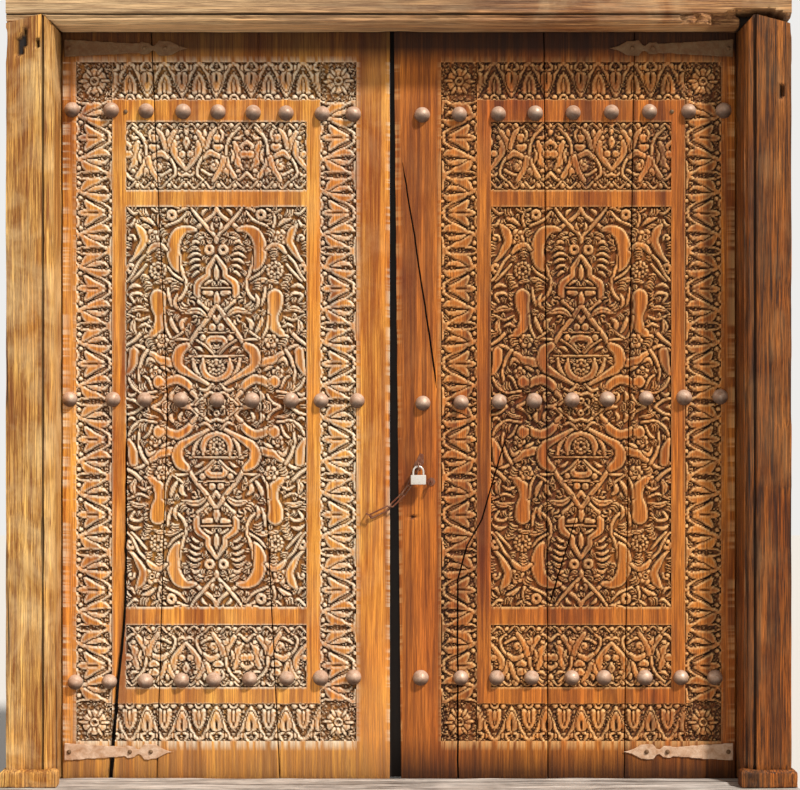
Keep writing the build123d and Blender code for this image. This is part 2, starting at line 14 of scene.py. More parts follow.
import bmesh
import bpy
import numpy as np
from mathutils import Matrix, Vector

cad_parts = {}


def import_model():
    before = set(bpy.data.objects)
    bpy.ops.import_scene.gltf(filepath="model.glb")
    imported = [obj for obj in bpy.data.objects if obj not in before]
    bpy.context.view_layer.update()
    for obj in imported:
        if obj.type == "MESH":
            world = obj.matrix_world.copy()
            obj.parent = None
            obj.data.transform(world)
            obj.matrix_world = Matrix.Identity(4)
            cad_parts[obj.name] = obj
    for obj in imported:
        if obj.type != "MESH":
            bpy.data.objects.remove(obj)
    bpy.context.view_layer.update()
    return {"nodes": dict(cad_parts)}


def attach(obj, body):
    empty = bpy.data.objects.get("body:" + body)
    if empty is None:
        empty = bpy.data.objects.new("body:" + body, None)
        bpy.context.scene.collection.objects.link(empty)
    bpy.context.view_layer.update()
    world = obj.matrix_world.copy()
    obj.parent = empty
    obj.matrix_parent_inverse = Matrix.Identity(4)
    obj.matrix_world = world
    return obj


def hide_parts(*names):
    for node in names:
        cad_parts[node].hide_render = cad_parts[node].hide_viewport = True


log = logging.getLogger("door")

Point = tuple[float, float]
Colour = tuple[float, float, float]


class Side(Enum):
    """The two leaves, with the sign of their X."""

    LEFT = -1.0
    RIGHT = 1.0

    @property
    def label(self) -> str:
        """This side's word in the names of its pieces."""
        return self.name.lower()

    @property
    def body(self) -> str:
        """Name of the moving body of this leaf."""
        return f"{self.label}_leaf"


# Sizes shared with the model, in metres

HALF_OPENING = 0.935
HALF_FRAME = 1.061
SILL_HEIGHT = 0.095
SOFFIT = 2.155
LINTEL_TOP = 2.305
FRAME_FRONT = -0.100
FRAME_BACK = 0.100
LEAF_FRONT = 0.010
LAYER_BACK = 0.040
LEAF_BACK = 0.065
LEAF_FOOT = 0.089
LEAF_HEAD = 2.170
LEAF_SIDE = 0.930
STILE_FRONT = 0.028
AXIS_X = 0.944
AXIS_Y = 0.0465


# Numbers that vary smoothly over a plane or a volume, always the same on each run

def lattice(values: np.ndarray, seed: int) -> np.ndarray:
    """Pseudo-random number from -1 to 1 for each whole number.

    Args:
        values: Whole numbers of any shape.
        seed: Which of many such fields to use.

    Returns:
        Array of the same shape.
    """
    mixed = np.sin(values * 12.9898 + seed * 78.233) * 43758.5453
    return (mixed - np.floor(mixed)) * 2 - 1


def ripple(x: np.ndarray, z: np.ndarray, size: float, seed: int) -> np.ndarray:
    """Smooth noise over a plane.

    Args:
        x: First coordinate.
        z: Second coordinate.
        size: Distance over which it changes.
        seed: Which of many such fields to use.

    Returns:
        Values from about -1 to 1.
    """
    cell_x, cell_z = np.floor(x / size), np.floor(z / size)
    share_x, share_z = x / size - cell_x, z / size - cell_z
    share_x = share_x * share_x * (3 - 2 * share_x)
    share_z = share_z * share_z * (3 - 2 * share_z)

    def corner(step_x: int, step_z: int) -> np.ndarray:
        """Value at one corner of the cell."""
        return lattice((cell_x + step_x) * 1.7 + (cell_z + step_z) * 57.31, seed)

    low = corner(0, 0) * (1 - share_x) + corner(1, 0) * share_x
    high = corner(0, 1) * (1 - share_x) + corner(1, 1) * share_x
    return low * (1 - share_z) + high * share_z


def grain_height(across: np.ndarray, along: np.ndarray, seed: int) -> np.ndarray:
    """Raised grain of weathered timber, long along the fibres.

    Args:
        across: Coordinate across the fibres, in metres.
        along: Coordinate along the fibres, in metres.
        seed: Which board.

    Returns:
        Values from about -1 to 1.
    """
    drift = ripple(across, along, 0.35, seed + 5) * 0.012
    fine = ripple(across + drift, along * 0.05, 0.004, seed)
    broad = ripple(across + drift, along * 0.08, 0.013, seed + 1)
    return 0.55 * fine + 0.45 * broad


def near_line(x: np.ndarray, z: np.ndarray, points: Sequence[Point]) -> np.ndarray:
    """Distance from each place to a broken line.

    Args:
        x: First coordinate of the places.
        z: Second coordinate of the places.
        points: Corners of the line.

    Returns:
        Distances, of the same shape as x.
    """
    best = np.full(np.shape(x), np.inf)
    for (x0, z0), (x1, z1) in zip(points[:-1], points[1:]):
        run, rise = x1 - x0, z1 - z0
        share = np.clip(((x - x0) * run + (z - z0) * rise) / (run * run + rise * rise + 1e-18), 0, 1)
        best = np.minimum(best, np.hypot(x - x0 - share * run, z - z0 - share * rise))
    return best


# Carving

class Gouge:
    """Height map of one carved tile: 1 is the face that is left standing, 0 the sunk ground.

    Places are given in steps of the carver's grid, from the tile's lower left corner.

    Attributes:
        fineness: Samples in a step.
        channel: Width of the channel cut round a shape, in steps.
        edge: Width of a shape's sloping side, in steps.
        runs: Straight runs that a smooth line has between two of its places.
    """

    fineness = 3
    channel = 1.15
    edge = 0.75
    runs = 6

    def __init__(self, width: float, height: float) -> None:
        """Start a tile that is all ground.

        Args:
            width: Width of the tile in steps.
            height: Height of the tile in steps.
        """
        self.width, self.height_steps = width, height
        across = np.arange(int(round(width * self.fineness)) + 1) / self.fineness
        up = np.arange(int(round(height * self.fineness)) + 1) / self.fineness
        self.x, self.z = np.meshgrid(across, up)
        self.height = np.zeros_like(self.x)

    def window(self, low: np.ndarray, high: np.ndarray) -> tuple[slice, slice]:
        """Part of the tile between two corners, a little enlarged."""
        spare = self.channel + self.edge + 0.5
        first = np.floor((low - spare) * self.fineness).astype(int).clip(0)
        last = np.ceil((high + spare) * self.fineness).astype(int) + 1
        return slice(first[1], max(last[1], 0)), slice(first[0], max(last[0], 0))

    def lay(self, part: tuple[slice, slice], outside: np.ndarray, level: float = 1.0,
            joined: bool = False) -> None:
        """Leave a shape standing, with a channel cut round it.

        Args:
            part: The part of the tile that is touched.
            outside: Distance outside the shape, negative within it.
            level: Height of the shape.
            joined: Whether it runs into what stands, with no channel between.
        """
        here = self.height[part]
        cover = np.clip(0.5 - outside / self.edge, 0, 1)
        if joined:
            self.height[part] = np.maximum(here, level * cover)
            return
        here = here * np.clip((outside - 0.1) / self.channel, 0, 1)
        self.height[part] = here * (1 - cover) + level * cover

    def path(self, points: Sequence[Point]) -> np.ndarray:
        """Smooth line through some points.

        Args:
            points: Places that the line goes through.

        Returns:
            Points along the line, one in each row.
        """
        spots = np.array(points, float)
        if len(spots) < 3:
            return spots
        ends = np.vstack([2 * spots[0] - spots[1], spots, 2 * spots[-1] - spots[-2]])
        share = np.linspace(0, 1, self.runs, endpoint=False)[:, None]
        rows = []
        for i in range(1, len(ends) - 2):
            a, b, c, d = ends[i - 1], ends[i], ends[i + 1], ends[i + 2]
            rows.append(
                0.5 * (2 * b + (c - a) * share + (2 * a - 5 * b + 4 * c - d) * share**2
                       + (3 * b - a - 3 * c + d) * share**3)
            )
        rows.append(ends[-2][None])
        return np.vstack(rows)

    def stroke(self, points: Sequence[Point], widths: Sequence[float], level: float = 1.0,
               joined: bool = False) -> None:
        """Band along a smooth line, with its width set at even distances along it.

        Args:
            points: Places that the line goes through.
            widths: Widths from start to end.
            level: Height of the band.
            joined: Whether it runs into what stands, with no channel between.
        """
        line = self.path(points)
        steps = np.linspace(0, 1, len(line))
        radii = np.interp(steps, np.linspace(0, 1, len(widths)), np.array(widths) / 2)
        margin = radii.max()
        part = self.window(line.min(0) - margin, line.max(0) + margin)
        x, z = self.x[part], self.z[part]
        if x.size == 0:
            return
        outside = np.full(x.shape, np.inf)
        for (x0, z0), (x1, z1), r0, r1 in zip(line[:-1], line[1:], radii[:-1], radii[1:]):
            run, rise = x1 - x0, z1 - z0
            share = np.clip(((x - x0) * run + (z - z0) * rise) / (run * run + rise * rise + 1e-12), 0, 1)
            gap = np.hypot(x - x0 - share * run, z - z0 - share * rise) - (r0 + (r1 - r0) * share)
            outside = np.minimum(outside, gap)
        self.lay(part, outside, level, joined)

    def blade(self, points: Sequence[Point], width: float, rib: bool = False) -> None:
        """Leaf blade, pointed at both ends and widest past its middle.

        Args:
            points: Places along its middle.
            width: Greatest width.
            rib: Whether a fine groove runs along it.
        """
        self.stroke(points, (0.5, 0.75 * width, width, 0.8 * width, 0.3))
        if rib:
            self.groove(self.path(points)[1:-1], 0.7)

    def groove(self, line: Sequence[Point], width: float, floor: float = 0.35) -> None:
        """Fine groove cut into what stands."""
        line = np.array(line, float)
        part = self.window(line.min(0) - width, line.max(0) + width)
        gap = near_line(self.x[part], self.z[part], [tuple(row) for row in line])
        if gap.size:
            cut = np.clip(1 - gap / width, 0, 1)
            self.height[part] *= 1 - cut * (1 - floor)

    def bead(self, x: float, z: float, radius: float, hole: float = 0.0) -> None:
        """Round bead, with a drilled hole where the hole has a size."""
        spot = np.array((x, z))
        part = self.window(spot - radius, spot + radius)
        gap = np.hypot(self.x[part] - x, self.z[part] - z)
        if gap.size:
            self.lay(part, gap - radius)
            if hole:
                self.height[part] *= np.clip((gap - hole + 0.3) / 0.6, 0.0, 1)

    def rosette(self, x: float, z: float, radius: float, petals: int, turn: float = 0.0) -> None:
        """Open flower of round petals about a drilled eye."""
        reach = radius * 0.6
        for i in range(petals):
            angle = turn + 2 * math.pi * i / petals
            self.bead(x + reach * math.cos(angle), z + reach * math.sin(angle), radius * 0.4)
        self.bead(x, z, radius * 0.36, radius * 0.16)

    def cluster(self, x: float, z: float, radius: float) -> None:
        """Bunch of small beads in two rings about a low eye."""
        spot = np.array((x, z))
        part = self.window(spot - radius, spot + radius)
        gap = np.hypot(self.x[part] - x, self.z[part] - z)
        if gap.size == 0:
            return
        self.lay(part, gap - radius, 0.15)
        for ring, count in ((0.42, 6), (0.82, 12)):
            for i in range(count):
                angle = 2 * math.pi * (i + ring) / count
                across, up = x + ring * radius * math.cos(angle), z + ring * radius * math.sin(angle)
                near = np.hypot(self.x[part] - across, self.z[part] - up) - radius * 0.19
                cover = np.clip(0.5 - near / 0.5, 0, 1)
                self.height[part] = np.maximum(self.height[part], 0.9 * cover)

    def scroll(self, x: float, z: float, radius: float, start: float, turns: float, width: float) -> None:
        """Stem that winds in to an eye.

        Args:
            x: Middle of the scroll.
            z: Middle of the scroll.
            radius: Distance of the outer end from the middle.
            start: Angle of the outer end, in degrees.
            turns: Number of turns, negative for clockwise.
            width: Width of the stem at the outer end.
        """
        count = max(4, int(abs(turns) * 8))
        points = []
        for i in range(count + 1):
            share = i / count
            angle = math.radians(start) + 2 * math.pi * turns * share
            reach = radius * (1 - 0.86 * share)
            points.append((x + reach * math.cos(angle), z + reach * math.sin(angle)))
        self.stroke(points, (width, width * 0.9, width * 1.3))

    def sprig(self, x: float, z: float, size: float, angle: float) -> None:
        """Stem with a curled tip and two side leaves, which fills a small space."""
        cos, sin = math.cos(math.radians(angle)), math.sin(math.radians(angle))

        def put(along: float, over: float) -> Point:
            """Place in the sprig's own axes."""
            return x + size * (along * cos - over * sin), z + size * (along * sin + over * cos)

        self.stroke([put(-1, -0.15), put(-0.2, 0.2), put(0.5, -0.05), put(0.9, 0.3)],
                    (0.9, 1.5, 2.0, 1.1))
        self.blade([put(-0.55, 0.1), put(-0.15, 0.75), put(0.45, 0.85)], size * 0.42)
        self.blade([put(-0.4, -0.1), put(0.1, -0.7), put(0.75, -0.75)], size * 0.42)

    def fill(self, size: float, seed: int, margin: float = 0.6) -> None:
        """Fill what is still plain ground with sprigs and leaves that keep off what stands.

        Args:
            size: Size of a sprig.
            seed: Which of many fillings to use.
            margin: Least gap to what stands.
        """
        chance = np.random.default_rng(seed)
        for reach in (size, size * 0.74, size * 0.56):
            tries = int(self.width * self.height_steps / (reach * reach) * 9)
            for across, up, turn in chance.random((tries, 3)):
                x, z = across * self.width, up * self.height_steps
                row, column = int(z * self.fineness), int(x * self.fineness)
                span = max(1, int(reach * self.fineness))
                part = (slice(max(row - span, 0), row + span + 1),
                        slice(max(column - span, 0), column + span + 1))
                near = np.hypot(self.x[part] - x, self.z[part] - z) < reach * 0.76
                if self.height[part][near].max(initial=0) > 0.25:
                    continue
                angle = turn * 2 * math.pi
                cos, sin = math.cos(angle), math.sin(angle)
                long = reach - margin * 0.5
                bend = 0.45 * long * (1 if turn > 0.5 else -1)
                leaves = 3 if reach > size * 0.7 else 2
                if reach > size * 0.9 and across < 0.35:
                    self.sprig(x, z, reach - margin, math.degrees(angle))
                    continue
                for leaf in range(leaves):
                    over = (leaf - (leaves - 1) / 2) * 1.5 * long / leaves
                    spots = ((-long * 0.9, over * 0.45), (0.0, over + bend),
                             (long * (0.95 - 0.08 * leaf), over))
                    self.stroke([(x + a * cos - b * sin, z + a * sin + b * cos) for a, b in spots],
                                (0.4, long * 1.15 / leaves, long * 0.9 / leaves, 0.3))

    def read(self, x: np.ndarray, z: np.ndarray) -> np.ndarray:
        """Height at any places on the tile, in steps."""
        column = np.clip(x * self.fineness, 0, self.height.shape[1] - 1.001)
        row = np.clip(z * self.fineness, 0, self.height.shape[0] - 1.001)
        left, low = column.astype(int), row.astype(int)
        across, up = column - left, row - low
        near = self.height[low, left] * (1 - across) + self.height[low, left + 1] * across
        far = self.height[low + 1, left] * (1 - across) + self.height[low + 1, left + 1] * across
        return near * (1 - up) + far * up


def draw_main_quarter() -> Gouge:
    """Upper right quarter of the large panel, from the panel's middle.

    Returns:
        Tile 92.5 steps wide and 197 high.
    """
    tile = Gouge(92.5, 197)
    # Straps that cross at the head of the panel, and the leaves between them
    tile.stroke([(0, 196.5), (3, 190), (9, 185), (15, 181), (21, 176)], (3.4, 3.8, 4, 4))
    tile.stroke([(26, 196), (21, 189), (15.5, 183), (9, 176), (3, 170), (0, 162)], (2.6, 3.4, 3.8, 3.6, 3.4))
    tile.blade([(4, 182), (5, 177), (3, 174)], 4)
    tile.blade([(9, 195), (14, 192), (15, 188)], 3.6)
    tile.blade([(12, 172), (19, 170), (24, 166)], 3.6, True)
    tile.blade([(12, 167), (18, 166), (24, 161)], 3.2)
    tile.stroke([(30, 192), (38, 184), (52, 178)], (2.6, 3, 2.6))
    tile.blade([(28, 196), (36, 195), (42, 190)], 4)
    tile.bead(46, 189, 5.6, 1.6)
    tile.stroke([(38, 196), (43, 197)], (2, 2))
    tile.stroke([(52, 195), (60, 192), (66, 195)], (2.2, 2.6, 2.2))
    tile.stroke([(58, 178), (60, 186), (57, 193)], (3.2, 2.4, 1.6))
    tile.blade([(62, 178), (70, 184), (78, 186)], 5)
    tile.blade([(64, 173), (73, 178), (80, 176)], 4.2, True)
    tile.stroke([(91, 196), (84, 190), (78, 194)], (2.6, 3, 2))
    # Stem, and the great crescent over its head
    tile.stroke([(38, 150), (37, 141), (34, 132), (31, 123), (31.6, 115.5), (37, 107), (48, 101.5)],
                (3, 3.8, 3.6, 3.6, 3.6, 3.4, 2.6))
    tile.stroke([(22, 174.5), (30, 175), (39, 170.5), (43.6, 161), (44.6, 150), (42.6, 140), (39, 134)],
                (4.4, 8, 12.5, 14, 13.5, 9, 3))
    # Flower, wing and bunch at the right
    tile.rosette(66, 167, 8.2, 6, 0.3)
    tile.stroke([(51, 155), (58, 159), (66, 157), (72, 150)], (3, 6.5, 6, 2.6))
    tile.cluster(60, 134.5, 9)
    tile.stroke([(83, 180), (77, 172), (75, 163), (79, 155), (84, 147), (90, 141)], (3, 9, 8, 7, 4, 2.6))
    tile.scroll(88, 166, 4.6, 200, -0.8, 2.6)
    tile.stroke([(92, 178), (87, 179), (84, 184)], (2.2, 3.4, 2))
    tile.bead(88, 136, 5.3, 1.5)
    tile.stroke([(73, 149), (79, 143), (84, 134), (88, 127), (92, 124)], (2.6, 2.8, 3, 3, 2.6))
    tile.stroke([(72, 140), (80, 131), (87, 124)], (2.4, 3, 2.2))
    tile.blade([(35, 121), (48, 125), (59, 121)], 5.2, True)
    tile.stroke([(34, 125), (44, 131), (50, 138)], (2.2, 2.8, 2))
    # Eye ring, palmette and leaves inside the crescent
    tile.bead(7.2, 155, 5.4, 1.7)
    tile.blade([(15, 160), (22, 163), (28, 158)], 3.8)
    tile.blade([(16, 154), (23, 157), (31, 152)], 3.8, True)
    tile.blade([(14, 149), (22, 151), (31, 146)], 3.4)
    tile.blade([(15, 144), (22, 145), (30, 140)], 3.4)
    tile.blade([(14, 138.5), (21, 139), (28, 134)], 3.2)
    tile.blade([(16, 133), (21, 132), (26, 127)], 3.2)
    # Flame on the axis, running on into the heart
    tile.stroke([(0.3, 149), (4.8, 142), (8.8, 135.5), (9, 129.5), (13.3, 126.3), (19, 121.4), (20.4, 113.5),
                 (18.6, 105.5)], (3, 4.6, 5.6, 5.2, 5.6, 7.2, 7.4, 5))
    tile.blade([(0, 141), (0.6, 132), (0, 124)], 4.6)
    tile.stroke([(3.6, 124.6), (8, 123), (12, 120.4)], (2, 3, 2))
    tile.stroke([(0, 117.1), (15, 117.1)], (1.8, 1.8))
    tile.stroke([(6, 112), (12.6, 112.6)], (5.4, 4.2))
    tile.blade([(0, 114), (1, 106), (0, 96)], 4.8)
    tile.stroke([(18.5, 104), (13, 100), (6, 92.5), (0, 84)], (4, 3.6, 4, 3.6))
    tile.blade([(8, 106), (11, 103), (9, 99)], 3)
    # Keyhole lobe
    tile.stroke([(60, 108), (60, 100), (58, 91), (58.5, 81), (65, 73), (73, 69)],
                (16.5, 15, 11.5, 12, 8.5, 3))
    tile.blade([(50, 122), (57, 124), (66, 121)], 4, True)
    tile.stroke([(50, 117), (49, 109), (46, 100)], (2.4, 4, 2.4))
    tile.blade([(40, 112), (43, 103), (38, 95)], 4.4)
    tile.blade([(69, 95), (80, 97), (91, 93)], 5.4, True)
    tile.stroke([(69, 89), (79, 86), (91, 91)], (2, 2.8, 2))
    tile.stroke([(72, 105), (79, 112), (88, 110), (84, 103)], (2, 3.2, 3.4, 2.4))
    tile.blade([(76, 118), (84, 120), (91, 116)], 4)
    tile.blade([(66, 78), (73, 81), (81, 78)], 4)
    tile.blade([(82, 70), (86, 78), (84, 87)], 6, True)
    tile.stroke([(78, 72), (84, 66), (92, 61)], (4, 3.6, 3))
    # Straight strap, pairs of leaves and bunches
    tile.stroke([(0, 99), (3, 97), (9.5, 87), (18.6, 76), (26.4, 64.6), (29.6, 56)],
                (3.6, 4.4, 4.8, 4.6, 4.4, 3.4))
    tile.blade([(9, 88), (20, 95), (36, 92)], 6.4, True)
    tile.blade([(30, 88), (36, 82), (33, 72)], 5.2)
    tile.blade([(38, 70), (45, 81), (47, 90)], 4.8)
    tile.stroke([(29, 66), (40, 67), (50, 66)], (2.2, 2.8, 2.2))
    tile.stroke([(46, 66), (52, 78), (53, 90)], (2.2, 3, 2.4))
    tile.stroke([(30, 78), (36, 73), (45, 67)], (2, 2.6, 2))
    tile.bead(4.4, 78.4, 3.6)
    tile.stroke([(0, 73.2), (17.8, 73.2)], (1.8, 1.8))
    tile.bead(14.2, 68.2, 3.1)
    tile.stroke([(0, 68), (7, 66.5), (9, 62), (2, 54)], (6, 6, 5.4, 3))
    tile.stroke([(3, 52.4), (11, 60), (20.6, 66)], (2, 2.4, 2))
    tile.blade([(13, 54), (18, 58), (24, 58)], 3.4)
    tile.stroke([(0, 49.9), (28.2, 49.9)], (1.9, 1.9))
    tile.cluster(0, 38.6, 8.8)
    tile.stroke([(13.5, 46.5), (14, 38), (10, 30.5), (0, 26.2)], (4, 6.4, 6.6, 4.4))
    tile.stroke([(24, 46.4), (22, 38), (16, 29)], (4.6, 4, 3))
    # Swallow wing with its stems
    tile.stroke([(44, 43.4), (53, 44.4), (63, 49.4), (70, 54.6)], (8, 9.4, 7.4, 3.4))
    tile.stroke([(30.5, 60), (37.6, 55), (40, 46.6), (36, 38), (27, 32.6), (17, 27), (8, 22)],
                (8, 11.5, 12, 10, 6.4, 4.6, 3.4))
    tile.rosette(56, 65, 7.4, 6)
    tile.stroke([(71, 55), (80, 60), (91, 56)], (3, 3.6, 3.4))
    tile.stroke([(71, 56), (77, 46), (80, 34), (79, 24)], (3.6, 3.6, 3.2, 2.6))
    tile.stroke([(85, 54), (86, 44), (90, 32)], (10, 10, 4.6))
    tile.blade([(90, 30), (86, 22), (78, 16)], 4.4)
    tile.blade([(62, 43), (69, 47), (73, 40)], 4.4)
    tile.rosette(63, 33.5, 6.4, 5, 0.4)
    tile.blade([(48, 35), (53, 38), (58, 40)], 3.8)
    # Two-humped form with its round end
    tile.stroke([(24, 15), (30, 22), (39, 27), (48, 25.6), (52, 22)], (6, 8.6, 9.6, 9, 6))
    tile.bead(59, 24.6, 6.4)
    tile.stroke([(62, 15), (76, 14), (86, 20), (90, 28)], (2.4, 3.2, 3.2, 2.6))
    tile.stroke([(66, 18), (70, 27), (75, 31)], (2, 3, 2))
    tile.stroke([(25, 14), (20, 8), (26, 2), (36, 0)], (5, 3.6, 3, 3))
    tile.stroke([(0, 12), (8, 14), (14, 8), (22, 2)], (3, 3.4, 3.4, 2.8))
    tile.stroke([(4, 22), (11, 16), (18, 18)], (2.6, 3.2, 2))
    tile.bead(0, 6, 3.4, 1.1)
    tile.blade([(36, 16), (38, 10), (35, 4)], 4)
    tile.blade([(44, 16), (47, 10), (45, 4)], 5)
    tile.stroke([(52, 12), (56, 5), (66, 0)], (2.4, 3, 3))
    tile.blade([(60, 10), (70, 9), (78, 4)], 4.6, True)
    tile.stroke([(76, 0), (84, 6), (92, 8)], (2.6, 3.2, 2.6))
    tile.blade([(82, 14), (87, 11), (91, 14)], 3.4)
    tile.fill(6.0, 11)
    return tile


def draw_side_border() -> Gouge:
    """Half of one repeat of the upright borders, from a crossing to the star between two.

    Returns:
        Tile 36 steps wide and 38.7 high.
    """
    tile = Gouge(36, 38.7)
    # Strap that rises from the crossing, with its wing and the band at the edge
    tile.stroke([(2.4, 0.2), (16, 8.2), (31, 16)], (4, 3, 3.2))
    tile.stroke([(9, 3.4), (17, 5.4), (25, 8.6), (30, 12.6)], (2, 6.8, 8.2, 4), joined=True)
    tile.stroke([(21, 3.4), (29, 3.4), (36, 1.2)], (2.4, 2.6, 2.4), joined=True)
    tile.stroke([(1.2, 14), (2, 8), (2.6, 1)], (2.2, 3.2, 3.8), joined=True)
    tile.bead(33.6, 8, 2.4)
    tile.stroke([(4.4, 17), (8.6, 12.8), (17, 13.8), (26, 16.6)], (1.4, 4.8, 5.8, 1.4))
    # Strap that falls to the outer node, with the broad leaf under it
    tile.stroke([(1.4, 20.2), (8, 23), (15, 22.8), (24, 20), (32, 17.4)], (2.6, 7.8, 8, 4.4, 3.2))
    tile.stroke([(2.6, 34), (10, 29.2), (20, 24), (32, 17.6)], (3.2, 2.8, 2.8, 3), joined=True)
    tile.bead(1.4, 26.4, 2.2)
    tile.stroke([(30.6, 15), (35, 17.2), (36, 21)], (3, 3.6, 2.4), joined=True)
    tile.stroke([(36, 12), (34.6, 14.6), (32, 17)], (2.2, 2.6, 3), joined=True)
    # Pointed leaf on the ground, medallion and the stems beside it
    tile.stroke([(6.4, 34.6), (12, 31.6), (18.6, 28)], (1.2, 3, 1), 0.6)
    tile.stroke([(8.6, 36.8), (16, 35.4), (23, 31.6), (27, 26.6)], (3.2, 7, 8, 3.6))
    tile.stroke([(20, 38), (28, 36.6), (34, 38.7)], (3, 4, 3), joined=True)
    tile.groove([(15.4, 38.9), (24, 38.9)], 1.7, 0.0)
    tile.bead(32, 23.6, 2.4)
    tile.stroke([(35.4, 25), (34.4, 30), (35.4, 35)], (2.4, 3.4, 2.4))
    tile.stroke([(0, 38.7), (3, 37), (2, 34)], (2.4, 3, 3), joined=True)
    tile.fill(2.8, 5, 0.4)
    return tile


def draw_strip() -> Gouge:
    """One half of a repeat of the level strips, from the foot of a chevron to its head.

    Returns:
        Tile 17.3 steps wide and 38 high.
    """
    tile = Gouge(17.3, 38)
    tile.stroke([(0, 4), (4.6, 15), (8, 24), (13, 34), (17.3, 37)], (3.6, 4.4, 4, 4.2, 3.4))
    tile.stroke([(0, 10), (2.4, 16), (3.4, 24), (0, 31)], (4.2, 4.6, 5, 2.2))
    tile.stroke([(17.3, 27), (13.6, 18), (12.6, 8)], (3, 5.6, 5))
    tile.blade([(17.3, 6), (17.3, 12), (17.3, 22)], 3.6)
    tile.bead(8.4, 2.8, 2.8)
    tile.stroke([(0, 0.4), (8, -0.4), (17.3, 0.6)], (2.4, 1.6, 2.4))
    tile.stroke([(13, 0), (15, 4), (17.3, 5)], (2, 2.6, 2.2))
    tile.stroke([(3, 37.6), (6.4, 32), (2, 30)], (2.4, 4, 2))
    tile.blade([(8.6, 36.6), (9.6, 33), (8.6, 29.6)], 3)
    tile.fill(2.6, 3, 0.5)
    return tile


def draw_small_panel() -> Gouge:
    """Half of one repeat of the low and high panels, from a full heart to the next.

    Returns:
        Tile 62.5 steps wide and 68 high.
    """
    tile = Gouge(62.5, 68)
    # Heart at the left edge
    tile.stroke([(13, 48), (12, 38), (7, 29), (2, 22), (0, 19)], (7.4, 7.4, 6, 4, 3.4))
    tile.bead(4.4, 36, 3.7)
    tile.stroke([(0, 43), (2, 48), (0, 53)], (4, 3, 2.6))
    tile.blade([(0, 54), (0, 60), (0, 64)], 6)
    tile.blade([(3, 60), (8, 58), (12, 55)], 3.2)
    tile.bead(9.6, 52.4, 2.4)
    tile.stroke([(0, 16), (5, 14), (9, 19)], (3.4, 3.4, 2.4))
    # Forked tree
    tile.stroke([(10, 61), (16, 52), (20, 42), (20, 34)], (4.6, 5.2, 6.4, 2.6))
    tile.stroke([(29, 62), (24, 52), (21, 42)], (5, 5.4, 4.4))
    tile.blade([(19, 61), (19, 57), (20, 53)], 4.4)
    tile.stroke([(20, 36), (13, 26), (11, 16), (17, 10)], (3, 2.8, 3, 2.8))
    # Wings and inverted fork
    tile.stroke([(19, 32), (25, 37), (33, 34), (36, 31)], (3.4, 6.6, 5.2, 2.4))
    tile.scroll(28, 24, 5.6, 60, -0.9, 3.6)
    tile.stroke([(16, 20), (24, 15), (33, 16)], (3, 3.4, 2.8))
    tile.stroke([(40, 34), (43, 24), (50, 13)], (6, 6, 5.4))
    tile.stroke([(39, 33), (36, 22), (28, 9)], (6, 6.2, 5))
    tile.stroke([(41, 36), (42, 46), (46, 54), (54, 62)], (3.4, 3.2, 3.6, 3.4))
    tile.blade([(27, 45), (33, 42), (38, 45)], 7.4)
    tile.bead(32, 52, 4.4)
    tile.stroke([(34, 62), (38, 56), (36, 49)], (3.4, 3.4, 2.4))
    tile.blade([(38, 16), (41, 20), (43, 13)], 4.6)
    # Half heart at the right edge
    tile.stroke([(50, 47), (53, 37), (53, 27), (58, 21)], (5.4, 7.2, 7.2, 3.4))
    tile.bead(59, 35.6, 4.4)
    tile.stroke([(62.5, 48), (57, 44), (58, 41)], (5, 4, 2.2))
    tile.blade([(46, 42), (48, 34), (46, 26)], 4)
    tile.stroke([(62.5, 17), (57, 12), (50, 8)], (3.6, 3.4, 3))
    tile.blade([(62.5, 54), (62.5, 59), (62.5, 64)], 6)
    tile.blade([(48, 52), (54, 52), (59, 56)], 4.2)
    tile.bead(54, 19, 2.6)
    # Beads and small arches along both edges
    for i, across in enumerate((0.0, 17.4, 34.0, 50.0)):
        tile.bead(across, 4.2, 2.6)
        tile.stroke([(across + 2, 8), (across + 8.6, 1.6), (across + 15, 8)], (2.2, 2.4, 2.2))
    for across in (12.0, 27.0, 46.0, 62.5):
        tile.bead(across, 64.6, 2.5)
        tile.stroke([(across - 13, 62), (across - 7, 66.6), (across - 2, 61)], (2.2, 2.2, 2))
    tile.fill(3.8, 8, 0.5)
    return tile


def draw_corner() -> Gouge:
    """Corner of the border: a flower with leaves between its petals and the edge.

    Returns:
        Tile 36 steps wide and 38 high.
    """
    tile = Gouge(36, 38)
    tile.rosette(18, 19, 12.5, 6, 0.5)
    for i in range(6):
        angle = 0.5 + math.pi / 6 + math.pi / 3 * i
        cos, sin = math.cos(angle), math.sin(angle)
        tile.blade([(18 + 6 * cos, 19 + 6 * sin), (18 + 10 * cos, 19 + 10 * sin),
                    (18 + 16 * cos, 19 + 16 * sin)], 3.4)
    tile.fill(3.4, 17, 0.5)
    return tile


